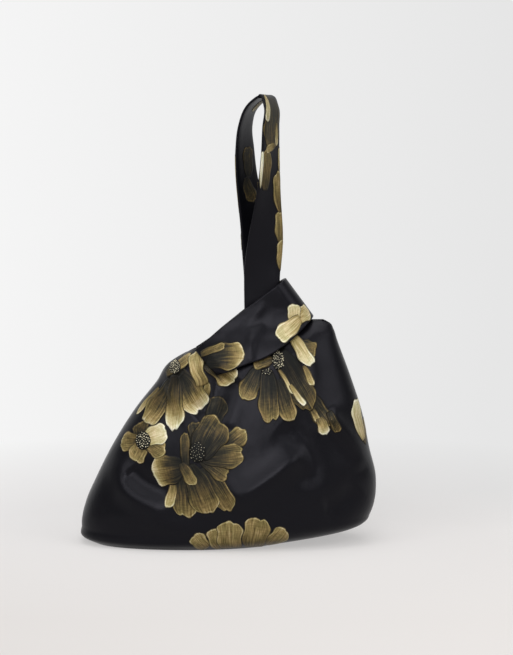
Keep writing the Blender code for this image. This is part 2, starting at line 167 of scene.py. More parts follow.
@dataclass(frozen=True)
class Surface:
    """Cloth that can be drawn on flat: u runs across it and v up it, and lay() bends a flat place onto it.

    Attributes:
        points: rows by columns of points on the cloth.
        start: the u of each row's first column.
        step: the u between two columns of each row.
        levels: the v of each row.
        turned: whether the cloth faces the other way.
    """

    points: Points
    start: Points
    step: Points
    levels: Points
    turned: bool = False

    @classmethod
    def through(
        cls,
        rows: Sequence[Points],
        levels: Points,
        origins: Points,
        columns: int,
        turned: bool = False,
    ) -> "Surface":
        """A surface whose rows are respaced evenly along their own length.

        Args:
            rows: the points of each row.
            levels: the v of each row.
            origins: how far along each row its u is nought.
            columns: how many columns to keep.
            turned: whether the cloth faces the other way.

        Returns:
            The surface.
        """
        shortest = 1e-6
        points, start, step = [], [], []
        for row, origin in zip(rows, origins):
            length = run(row)
            where = np.linspace(0, length[-1], columns)
            points.append(np.stack([np.interp(where, length, part) for part in row.T], 1))
            start.append(-origin)
            step.append(max(length[-1], shortest) / (columns - 1))
        return cls(np.array(points), np.array(start), np.array(step), np.asarray(levels, float), turned)

    def held(self, u: Points, v: Points) -> tuple[Points, Points]:
        """Flat places moved back to the edge of the cloth where they lie beyond it.

        Args:
            u: places across.
            v: places up.

        Returns:
            The places across and up.
        """
        v = np.clip(v, self.levels[0], self.levels[-1])
        start = np.interp(v, self.levels, self.start)
        wide = np.interp(v, self.levels, self.step) * (self.points.shape[1] - 1)
        return np.clip(u, start, start + wide), v

    def at(self, u: Points, v: Points) -> Points:
        """Points on the cloth at flat places.

        Args:
            u: places across.
            v: places up.

        Returns:
            The points.
        """
        row = np.clip(np.interp(v, self.levels, np.arange(len(self.levels))), 0, len(self.levels) - 1.001)
        low = row.astype(int)
        mix = (row - low)[..., None]
        return (1 - mix) * self._in_row(low, u) + mix * self._in_row(low + 1, u)

    def _in_row(self, row: Points, u: Points) -> Points:
        """Points of given rows at given places across.

        Args:
            row: the number of each point's row.
            u: places across.

        Returns:
            The points.
        """
        last = self.points.shape[1] - 1
        column = np.clip((u - self.start[row]) / self.step[row], 0, last - 0.001)
        low = column.astype(int)
        mix = (column - low)[..., None]
        return (1 - mix) * self.points[row, low] + mix * self.points[row, low + 1]

    def lay(self, u: Points, v: Points, lift: Points | float = 0.0) -> Points:
        """Points above the cloth at flat places.

        Args:
            u: places across.
            v: places up.
            lift: how far above the cloth.

        Returns:
            The points.
        """
        reach = 1.2 * MM
        across = self.at(u + reach, v) - self.at(u - reach, v)
        up = self.at(u, v + reach) - self.at(u, v - reach)
        outward = unit(np.cross(across, up)) * (-1 if self.turned else 1)
        return self.at(u, v) + outward * np.asarray(lift)[..., None]


@dataclass(frozen=True)
class Fold:
    """A ridge (lift above 0) or a valley in the cloth, along a bent line.

    Attributes:
        line: start, bend and end, as place across in mm and share of the body's height.
        width: how wide it is, in mm.
        lift: how far it rises, in mm.
        fade: the share of its length over which each end dies away.
    """

    line: tuple[Pair, Pair, Pair]
    width: float
    lift: float
    fade: float = 0.2

    def height(self, x: Points, z: Points, tall: float) -> Points:
        """Rise of the cloth.

        Args:
            x: places across.
            z: heights.
            tall: the body's height.

        Returns:
            The rise at each place.
        """
        samples, reach, at_ends = 25, 3, 0.15
        steps = np.linspace(0, 1, samples)[:, None]
        start, bend, end = (np.array(point) * (MM, tall) for point in self.line)
        line = (1 - steps) ** 2 * start + 2 * steps * (1 - steps) * bend + steps**2 * end
        raised = np.zeros_like(x)
        low, high = line.min(0) - reach * self.width * MM, line.max(0) + reach * self.width * MM
        near = (x > low[0]) & (x < high[0]) & (z > low[1]) & (z < high[1])
        if not near.any():
            return raised
        here = np.stack([x[near], z[near]], -1)[:, None]
        first, span = line[:-1], np.diff(line, axis=0)
        share = np.clip(((here - first) * span).sum(-1) / (span * span).sum(-1), 0, 1)
        away = np.linalg.norm(here - first - share[..., None] * span, axis=-1)
        nearest = away.argmin(-1)
        place = (nearest + share[np.arange(len(nearest)), nearest]) / len(span)
        ends = np.clip(np.minimum(place, 1 - place) / self.fade + at_ends, 0, 1)
        smooth = ends * ends * (3 - 2 * ends)
        raised[near] = self.lift * MM * smooth * np.exp(-((away.min(-1) / (self.width * MM)) ** 2))
        return raised


FRONT_FOLDS = [
    Fold(((-62, 0.704), (-45, 0.742), (-25, 0.789)), 26, 7),
    Fold(((0, 0.775), (-6, 0.685), (-28, 0.575)), 12, -8),
    Fold(((-104, 0.423), (-114, 0.235), (-50, 0.169)), 12, 5),
    Fold(((-92, 0.366), (-82, 0.300), (-52, 0.263)), 12, -4.2),
    Fold(((0, 0.216), (36, 0.310), (72, 0.451)), 13, 6),
    Fold(((48, 0.563), (74, 0.460), (78, 0.272)), 13, -3.2),
    Fold(((90, 0.620), (118, 0.479), (130, 0.347)), 12, 6),
    Fold(((88, 0.188), (108, 0.216), (124, 0.272)), 11, -4),
    Fold(((62, 0.920), (70, 0.826), (68, 0.704)), 9, -3),
]
FRONT_CREASES = [
    Fold(((-94, 0.400), (-98, 0.310), (-70, 0.270)), 8, -0.6),
    Fold(((8, 0.255), (40, 0.330), (74, 0.465)), 5, 0.9),
    Fold(((51, 0.570), (74, 0.470), (76, 0.330)), 4, 0.8),
    Fold(((57, 0.560), (82, 0.470), (82, 0.330)), 6, -0.7),
    Fold(((93, 0.620), (112, 0.520), (133, 0.400)), 6, 3.0),
    Fold(((90, 0.560), (108, 0.470), (124, 0.330)), 8, -1.8),
    Fold(((-18, 0.790), (-14, 0.700), (-32, 0.600)), 6, -1.2),
    Fold(((-2, 0.730), (6, 0.640), (0, 0.540)), 9, 1.4),
    Fold(((-120, 0.180), (-80, 0.120), (-30, 0.110)), 8, 1.2),
]
BACK_FOLDS = [
    Fold(((-55, 0.704), (-40, 0.751), (-18, 0.789)), 26, 6),
    Fold(((0, 0.775), (-8, 0.676), (-34, 0.550)), 12, -7),
    Fold(((-108, 0.329), (-80, 0.207), (-30, 0.169)), 12, 6),
    Fold(((30, 0.610), (44, 0.432), (20, 0.235)), 12, -5),
    Fold(((90, 0.638), (112, 0.469), (118, 0.263)), 12, 6),
    Fold(((-10, 0.451), (0, 0.329), (-6, 0.188)), 13, 6.5),
]
BACK_CREASES = [
    Fold(((-104, 0.320), (-78, 0.215), (-34, 0.185)), 4.5, 1.2),
    Fold(((28, 0.590), (40, 0.432), (22, 0.260)), 4, -1.2),
    Fold(((92, 0.620), (112, 0.475), (116, 0.290)), 4.5, 1.2),
    Fold(((-18, 0.790), (-14, 0.700), (-36, 0.580)), 5, -2.0),
]
BAND_FOLDS = [
    Fold(((4, 0.800), (16, 0.900), (34, 0.990)), 6, 1.5),
    Fold(((20, 0.820), (22, 0.900), (20, 0.980)), 4.5, 1.2),
    Fold(((-6, 0.860), (14, 0.960), (36, 1.090)), 5, 1.0),
]

# Unevenness of the cloth: how far it rises and how far apart its waves lie, in mm, and a seed.
BODY_RIPPLES = ((0.6, 42, 3.1), (0.22, 15, 7.7))
BAND_RIPPLES = ((0.45, 26, 5.2), (0.12, 9, 1.9))


@dataclass
class BodyForm:
    """The shape of the bag's body and of the short handle over it, as the frame's solids have them.

    Attributes:
        low: lowest corner of the front panel's box.
        high: highest corner of the front panel's box.
        base_depth: half depth of the base.
        belly_depth: greatest half depth.
        seam_top_drop: how far under the rim the side seam opens into the mouth.
        overrun: how far the body's section reaches past its left edge at the mouth.
        fullness: how round the section is, 1 for an ellipse and less for a squarer one.
        underside: width of the underside at its middle, as a share of the base's.
        left: left edge, as share of the height and share of the reach.
        right: right edge, as share of the height and share of the reach.
        depths: half depth, as share of the height and share of the greatest.
        rim: left edge of the mouth, as share of seam_top_drop and place in mm.
        band_low: lower edge of the short handle, in mm from the top of the body.
        band_high: upper edge of the short handle, in mm from the top of the body.
        band_cloth: thickness of the short handle.
        band_round: how far from its fold the short handle rounds off.
        bridge: how far up and down the short handle spans the body's hollows.
        rounding: how softly it goes over from the body to the long handle.
        strap_cloth: thickness of the long handle.
        neck: distance of each strand of the long handle from the middle plane, inside the knot.
        ease: room between a strand and the short handle.
        root_sink: how far under the body's cloth the short handle starts.
        root_length: over how much of its length the short handle leaves its root.
        cover_reach: how far round the short handle the body's cloth gives way.
        give: how far it gives way.
        rim_give: how much further it gives way at the left of the rim.
        clear: room between it and the short handle.
        calm_rim: distance under the rim over which the folds die away.
        calm_base: height over which they do so at the base.
        drawn_from: place across from which the flowers are measured.
    """

    low: Vector
    high: Vector
    base_depth: float = 46 * MM
    belly_depth: float = 63 * MM
    seam_top_drop: float = 29 * MM
    overrun: float = 5 * MM
    fullness: float = 0.8
    underside: float = 0.9
    left: tuple[Pair, ...] = (
        (0.000, 0.905),
        (0.023, 0.984),
        (0.075, 1.000),
        (0.183, 0.970),
        (0.291, 0.899),
        (0.455, 0.772),
        (0.615, 0.617),
        (0.723, 0.488),
        (0.808, 0.399),
        (0.864, 0.257),
        (1.183, -0.357),
    )
    right: tuple[Pair, ...] = (
        (0.000, 0.330),
        (0.012, 0.420),
        (0.028, 0.560),
        (0.047, 0.720),
        (0.064, 0.830),
        (0.080, 0.895),
        (0.098, 0.935),
        (0.131, 0.962),
        (0.282, 1.000),
        (0.427, 0.952),
        (0.592, 0.899),
        (0.751, 0.820),
        (0.915, 0.728),
        (0.958, 0.706),
        (0.986, 0.678),
        (1.000, 0.635),
    )
    depths: tuple[Pair, ...] = (
        (0.023, 0.857),
        (0.075, 0.952),
        (0.188, 1.000),
        (0.399, 0.937),
        (0.615, 0.762),
        (0.751, 0.619),
        (0.864, 0.492),
        (0.925, 0.373),
        (0.967, 0.238),
        (0.986, 0.151),
        (1.000, 0.040),
    )
    rim: tuple[Pair, ...] = ((0.0, -36), (0.2, -20), (0.45, 2), (0.65, 26), (0.83, 48), (1.0, 66))
    band_low: tuple[Pair, ...] = ((-11, -50), (13, -40), (35, -32), (54, -20), (80.5, 3))
    band_high: tuple[Pair, ...] = ((-32, -27.8), (-12, -9.9), (8, 5.5), (53.5, 39.5))
    band_cloth: float = 2.4 * MM
    band_round: float = 14 * MM
    bridge: float = 14 * MM
    rounding: float = 15 * MM
    strap_cloth: float = 3 * MM
    neck: float = 4.2 * MM
    ease: float = 4.1 * MM
    root_sink: float = 0.8 * MM
    root_length: float = 30 * MM
    cover_reach: float = 12 * MM
    give: float = 2.3 * MM
    rim_give: float = 4 * MM
    clear: float = 0.7 * MM
    calm_rim: float = 25 * MM
    calm_base: float = 14 * MM
    drawn_from: float = 20 * MM

    @property
    def tall(self) -> float:
        """Height of the body."""
        return self.high.z

    @property
    def seam_top(self) -> float:
        """Height at which the side seam opens into the mouth."""
        return self.tall - self.seam_top_drop

    def section(self, z: Points) -> tuple[Points, Points, Points, Points]:
        """The body cut level.

        Args:
            z: heights.

        Returns:
            Left edge, right edge, half depth and overrun of the mouth at each height.
        """
        share = z / self.tall
        depths = [(0.0, self.base_depth)] + [(place, self.belly_depth * part) for place, part in self.depths]
        left = self.low.x * along(self.left, share)
        right = self.high.x * along(self.right, share)
        overrun = np.clip((z - self.seam_top) / (self.seam_top_drop / 2), 0, 1) * self.overrun
        return left, right, along(depths, share), overrun

    def over_top(self, points: tuple[Pair, ...]) -> list[Pair]:
        """Points given in mm from the top of the body, in metres from the ground."""
        return [(x * MM, self.tall + up * MM) for x, up in points]

    def bulge(self, x: Points, z: Points) -> tuple[Points, Points]:
        """Distance of the unfolded cloth from the middle plane.

        Args:
            x: places across.
            z: heights.

        Returns:
            The distance at each place, and a number that sinks to nought at the sides.
        """
        left, right, depth, overrun = self.section(z)
        middle, half = (left - overrun + right) / 2, (right - left + overrun) / 2
        inside = np.clip(1 - ((x - middle) / half) ** 2, 0, 1)
        return depth * inside ** (self.fullness / 2), inside

    def body_depth(self, x: Points, z: Points, side: Side, fine: bool) -> Points:
        """Distance of the cloth from the middle plane.

        Args:
            x: places across.
            z: heights.
            side: which half of the bag.
            fine: whether the small creases and the unevenness of the cloth are added.

        Returns:
            The distance at each place.
        """
        bulge, inside = self.bulge(x, z)
        folds = FRONT_FOLDS if side is Side.FRONT else BACK_FOLDS
        raised = sum(fold.height(x, z, self.tall) for fold in folds)
        if fine:
            creases = FRONT_CREASES if side is Side.FRONT else BACK_CREASES
            raised = raised + sum(fold.height(x, z, self.tall) for fold in creases)
            for rise, apart, seed in BODY_RIPPLES:
                raised = raised + rise * MM * ripple(x, z, apart * MM, seed * side.value)
        near_seam = np.clip(inside * 2.5, 0, 1)
        near_rim = np.clip((self.tall - z) / self.calm_rim, 0, 1)
        near_base = np.clip(z / self.calm_base, 0, 1) if fine else 1
        return bulge + raised * near_seam * near_rim * near_base

    @staticmethod
    def beyond(line: list[Pair], x: Points, z: Points) -> Points:
        """Distance of a point to the left of a straight line drawn from its first end to its second."""
        (x0, z0), (x1, z1) = line
        return ((x1 - x0) * (z - z0) - (z1 - z0) * (x - x0)) / math.hypot(x1 - x0, z1 - z0)

    def band_depth(self, x: Points, z: Points, side: Side) -> Points:
        """Distance of the outside of the short handle from the middle plane.

        Args:
            x: places across.
            z: heights.
            side: which half of the bag.

        Returns:
            The distance at each place.
        """
        samples = 17
        spans = np.linspace(-self.bridge, self.bridge, samples)
        spanned = sum(self.bulge(x, z + span)[0] * (z + span < self.tall) for span in spans) / samples
        over_body = self.body_depth(x, z, side, False) - self.bulge(x, z)[0] + spanned
        lower, upper = self.over_top(self.band_low), self.over_top(self.band_high)
        from_root = np.clip(-self.beyond([lower[0], upper[0]], x, z) / self.root_length, 0, 1)
        lift = (self.band_cloth + self.root_sink) * np.clip(from_root * 3, 0, 1) - self.root_sink
        round_strap = self.neck + self.strap_cloth / 2 + self.ease + self.band_cloth
        over_body, round_strap = over_body + lift, round_strap * from_root
        apart = over_body - round_strap
        depth = (over_body + round_strap + np.hypot(apart, self.rounding)) / 2
        to_fold = np.clip(1 - self.beyond([lower[-1], upper[-1]], x, z) / self.band_round, 0, 1)
        return depth * np.sqrt(1 - to_fold**2)

    def panel_depth(self, x: Points, z: Points, side: Side) -> Points:
        """Distance of the outer cloth of a panel from the middle plane: it gives way under the short handle.

        Args:
            x: places across.
            z: heights.
            side: which half of the bag.

        Returns:
            The distance at each place.
        """
        reach = self.cover_reach
        lower, upper = self.over_top(self.band_low), self.over_top(self.band_high)
        slope = math.atan2(lower[-1][1] - lower[0][1], lower[-1][0] - lower[0][0])
        above = (z - along(lower, x)) * math.cos(slope)
        above = np.where(x < lower[0][0], reach, above)
        inside = -self.beyond([lower[0], upper[0]], x, z)
        cover = np.clip(1 + above / reach, 0, 1) * np.clip(1 + inside / reach, 0, 1)
        left, right, _, overrun = self.section(z)
        at_rim = np.clip(1 - 3 * (x - left + overrun) / (right - left + overrun), 0, 1)
        free = self.body_depth(x, z, side, True) - (self.give + self.rim_give * at_rim) * cover
        limit = self.band_depth(x, z, side) - self.band_cloth - self.clear + (1 - cover) * 4 * reach
        return np.maximum(np.minimum(free, limit), 0)

    def loop(self, level: float, samples: int, near: Side) -> tuple[Points, float]:
        """The cloth's closed line round the body at one level, and where the middle of one side lies on it.

        Args:
            level: height, or below nought the way in along the underside.
            samples: points on each half.
            near: the side that lies whole in the middle of the line.

        Returns:
            The points, from left to right with half of the other side before and after, and the distance.
        """
        across = np.sin(np.linspace(-1, 1, samples) * math.pi / 2)
        share = 1 + min(level, 0) / self.base_depth
        z = np.full(samples, max(level, 0.0))
        left, right, depth, overrun = self.section(z)
        middle, half = (left - overrun + right) / 2, (right - left + overrun) / 2
        half = half * (self.underside + (1 - self.underside) * share)
        x = middle + half * across
        halves = {}
        for side in Side:
            if level < 0:
                y = share * depth * (1 - across**2) ** (self.fullness / 2)
            else:
                y = self.panel_depth(x, z, side)
            halves[side] = np.stack([x, side.value * y, z], 1)
        middle, far = halves[near], halves[Side(-near.value)][::-1]
        cut = samples // 2
        line = np.concatenate([far[cut:-1], middle, far[1 : cut + 1]])
        length = run(line)
        first = len(far[cut:-1])
        origin = np.interp(self.drawn_from, middle[:, 0], length[first : first + samples])
        return line, origin

    def wrap(self, near: Side) -> Surface:
        """The outside of the body as cloth that can be drawn on, whole round one side.

        Args:
            near: the side that lies whole in the middle.

        Returns:
            The surface: u from the line that flowers are measured from, v up from the ground.
        """
        under_rows, side_rows, samples, columns = 16, 130, 241, 520
        under = np.linspace(-self.base_depth * 0.98, 0, under_rows)[:-1]
        sides = np.linspace(0, self.tall * 0.985, side_rows)
        levels = np.r_[under, sides]
        loops = [self.loop(level, samples, near) for level in levels]
        origins = np.array([origin for _, origin in loops])
        return Surface.through([row for row, _ in loops], levels, origins, columns, near is Side.BACK)


# Meshes


def mark_flat(made: bmesh.types.BMesh, flat: Points) -> None:
    """Keeps each vertex's flat place on the cloth as the mesh's UV map.

    Args:
        made: the mesh.
        flat: the places, in metres.
    """
    layer = made.loops.layers.uv.verify()
    made.verts.index_update()
    for face in made.faces:
        for corner in face.loops:
            corner[layer].uv = flat[corner.vert.index]


def shaped(name: str, made: bmesh.types.BMesh, flat: Points | None = None) -> bpy.types.Object:
    """Puts a mesh in the scene, smooth.

    Args:
        name: the piece's name.
        made: the mesh, which is freed.
        flat: each vertex's flat place on the cloth, in metres.

    Returns:
        The object.
    """
    if flat is not None:
        mark_flat(made, flat)
    for face in made.faces:
        face.smooth = True
    mesh = bpy.data.meshes.new(name)
    made.to_mesh(mesh)
    made.free()
    placed = bpy.data.objects.new(name, mesh)
    bpy.context.scene.collection.objects.link(placed)
    return placed


def grid(columns: int, rows: int) -> tuple[bmesh.types.BMesh, Points, Points]:
    """A flat grid of faces.

    Args:
        columns: faces across.
        rows: faces up.

    Returns:
        The mesh, and the place of each vertex across and up it, from 0 to 1.
    """
    made = bmesh.new()
    bmesh.ops.create_grid(made, x_segments=columns, y_segments=rows, size=0.5)
    made.verts.ensure_lookup_table()
    place = np.array([vertex.co for vertex in made.verts]) + 0.5
    return made, np.clip(place[:, 0], 0, 1), np.clip(place[:, 1], 0, 1)


def move(made: bmesh.types.BMesh, points: Points) -> None:
    """Moves the vertices of a mesh to the given points."""
    for vertex, point in zip(made.verts, points):
        vertex.co = point


def close_up(made: bmesh.types.BMesh) -> None:
    """Joins the seam of a grid bent into a tube, fills its ends and turns its faces outwards.

    Args:
        made: the mesh.
    """
    bmesh.ops.remove_doubles(made, verts=made.verts, dist=0.01 * MM)
    bmesh.ops.holes_fill(made, edges=made.edges)
    bmesh.ops.recalc_face_normals(made, faces=made.faces)
    if made.calc_volume(signed=True) < 0:
        bmesh.ops.reverse_faces(made, faces=made.faces)


def thicken(piece: bpy.types.Object, cloth: float) -> None:
    """Gives a sheet its thickness, inwards.

    Args:
        piece: the sheet.
        cloth: how thick it is.
    """
    solid = piece.modifiers.new("cloth", "SOLIDIFY")
    solid.thickness = cloth
    solid.offset = -1
    solid.use_even_offset = False


def dress(piece: bpy.types.Object, finish: bpy.types.Material) -> None:
    """Gives a piece its finish and lets it ride with the frame.

    Args:
        piece: the piece.
        finish: its material.
    """
    piece.data.materials.clear()
    piece.data.materials.append(finish)
    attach(piece, "root")


@dataclass(frozen=True)
class Cut:
    """How a piece of cloth was cut and how it is held now.

    Attributes:
        flat: its width and length as cut, in metres.
        area: its flat area, in square metres.
        held: what keeps it in its shape.
        rests_on: the pieces that carry it.
    """

    flat: Pair
    area: float
    held: Held
    rests_on: tuple[str, ...]

    def declare(self, piece: bpy.types.Object, with_pieces: list[bpy.types.Object]) -> None:
        """Takes a piece and what is woven into it, and does nothing with them.

        Args:
            piece: the sheet; not used.
            with_pieces: what is woven into it; not used.
        """


CUTS = {
    "front_panel": Cut((0.34, 0.29), 0.069, Held.GATHERED, ("lining",)),
    "back_panel": Cut((0.34, 0.29), 0.069, Held.GATHERED, ("lining",)),
    "lining": Cut((0.30, 0.45), 0.111, Held.GATHERED, ("front_panel", "back_panel")),
    "short_handle": Cut((0.052, 0.23), 0.0113, Held.FOLDED, ("front_panel", "back_panel")),
    "long_handle": Cut((0.034, 0.52), 0.0171, Held.FOLDED, ("short_handle",)),
}


def towards_seams(a: Points) -> Points:
    """Places across, from -1 to 1 and closer together towards the seams, for even ones from 0 to 1."""
    even = 2 * a - 1
    return 0.35 * even + 0.65 * np.sin(even * math.pi / 2)


def base_and_side(b: Points, under: int, rows: int) -> tuple[Points, Points]:
    """Splits the way from the middle of the underside to the rim.

    Args:
        b: places along it, from 0 to 1.
        under: faces across the underside.
        rows: faces up the side.

    Returns:
        How far out on the underside and how far up the side each place lies, from 0 to 1.
    """
    split = under / (under + rows)
    return np.clip(b / split, 0, 1), np.clip((b - split) / (1 - split), 0, 1)


@dataclass
class Panel:
    """One half of the body's outer cloth, cut as one piece from the seam under the base to the rim.

    Attributes:
        side: which half.
        form: the body's shape.
        columns: faces across.
        rows: faces up the side.
        under: faces across the underside.
        cloth: how thick it is.
        gap: room between the two halves at the seams.
    """

    side: Side
    form: BodyForm
    columns: int = 210
    rows: int = 168
    under: int = 14
    cloth: float = 1.6 * MM
    gap: float = 0.3 * MM

    @property
    def node(self) -> str:
        """The frame's node that this piece stands for."""
        return f"{self.side.name.lower()}_panel"

    def build(self) -> bpy.types.Object:
        """Builds the panel.

        Returns:
            The piece.
        """
        form = self.form
        made, a, b = grid(self.columns, self.under + self.rows)
        outward, up = base_and_side(b, self.under, self.rows)
        z = form.tall * (0.55 * up + 0.45 * up**1.6)
        left, right, depth, _ = form.section(z)
        rim = along([(place, x * MM) for place, x in form.rim], (z - form.seam_top) / form.seam_top_drop)
        left = np.where(z > form.seam_top, rim, left)
        across = towards_seams(a)
        middle = (left + right) / 2
        x = middle + (right - left) / 2 * across
        y = form.panel_depth(x, z, self.side)
        below = outward < 1
        narrow = form.underside + (1 - form.underside) * outward
        x = np.where(below, middle + (x - middle) * narrow, x)
        y = np.where(below, outward * depth * (1 - across**2) ** (form.fullness / 2), y)
        y = self.side.value * np.maximum(y, self.gap / 2)
        move(made, np.stack([x, y, z], 1))
        flat = np.stack([x, z + (outward - 1) * form.base_depth], 1)
        if self.side is Side.BACK:
            bmesh.ops.reverse_faces(made, faces=made.faces)
        return shaped(f"{self.node}_cloth", made, flat)

    def dress(self, piece: bpy.types.Object, finish: bpy.types.Material) -> None:
        """Finishes the panel and lets it stand for its node.

        Args:
            piece: the panel.
            finish: its material.
        """
        thicken(piece, self.cloth)
        dress(piece, finish)
        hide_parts(self.node)


@dataclass
class Lining:
    """The loose cotton bag inside, sewn in below the mouth: both halves from the base up.

    Attributes:
        form: the body's shape.
        columns: faces across.
        rows: faces up the side.
        under: faces across the underside.
        drop: how far under the rim it ends.
        inset: room between it and the panels.
        at_sides: how much more room it has at the sides.
        share: its depth, as a share of the panels'.
        under_share: its depth on the underside, as a share of the base's.
        gather: height of its gathers.
        gather_length: length over which a gather swings by one radian.
        gather_from: height at which the gathers have their full height.
        gather_depth: depth at which they have it.
        cloth: how thick it is.
    """

    form: BodyForm
    columns: int = 120
    rows: int = 70
    under: int = 8
    drop: float = 35 * MM
    inset: float = 2.3 * MM
    at_sides: float = 1.6
    share: float = 0.8
    under_share: float = 0.76
    gather: float = 0.7 * MM
    gather_length: float = 5.5 * MM
    gather_from: float = 90 * MM
    gather_depth: float = 20 * MM
    cloth: float = 0.5 * MM

    def half(self, side: Side, whole: bmesh.types.BMesh) -> None:
        """Adds one half to the mesh.

        Args:
            side: which half.
            whole: the mesh.
        """
        form = self.form
        made, a, b = grid(self.columns, self.under + self.rows)
        outward, up = base_and_side(b, self.under, self.rows)
        z = up * (form.tall - self.drop - self.inset) + self.inset
        left, right, depth, _ = form.section(z)
        across = towards_seams(a)
        middle, reach = (left + right) / 2, (right - left) / 2
        narrow = form.underside + (1 - form.underside) * outward
        x = middle + (reach * narrow - self.inset * self.at_sides) * across
        y = form.panel_depth(middle + reach * across, z, side)
        gathers = self.gather * np.sin(x / self.gather_length + 3 * side.value)
        gathers = gathers * np.clip(z / self.gather_from, 0, 1) * np.clip(y / self.gather_depth, 0, 1)
        y = np.maximum(y * self.share - self.inset + gathers, 0)
        below = outward * depth * self.under_share * (1 - across**2) ** (form.fullness / 2)
        y = np.where(outward < 1, below, y)
        corners = [whole.verts.new(point) for point in np.stack([x, side.value * y, z], 1)]
        for face in made.faces:
            order = face.verts if side is Side.FRONT else reversed(face.verts)
            whole.faces.new([corners[vertex.index] for vertex in order])
        made.free()

    def build(self) -> bpy.types.Object:
        """Builds the lining.

        Returns:
            The piece.
        """
        whole = bmesh.new()
        for side in Side:
            self.half(side, whole)
        bmesh.ops.remove_doubles(whole, verts=whole.verts, dist=0.05 * MM)
        return shaped("lining_cloth", whole)

    def dress(self, piece: bpy.types.Object, finish: bpy.types.Material) -> None:
        """Finishes the lining and lets it stand for its node.

        Args:
            piece: the lining.
            finish: its material.
        """
        thicken(piece, self.cloth)
        dress(piece, finish)
        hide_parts("lining")


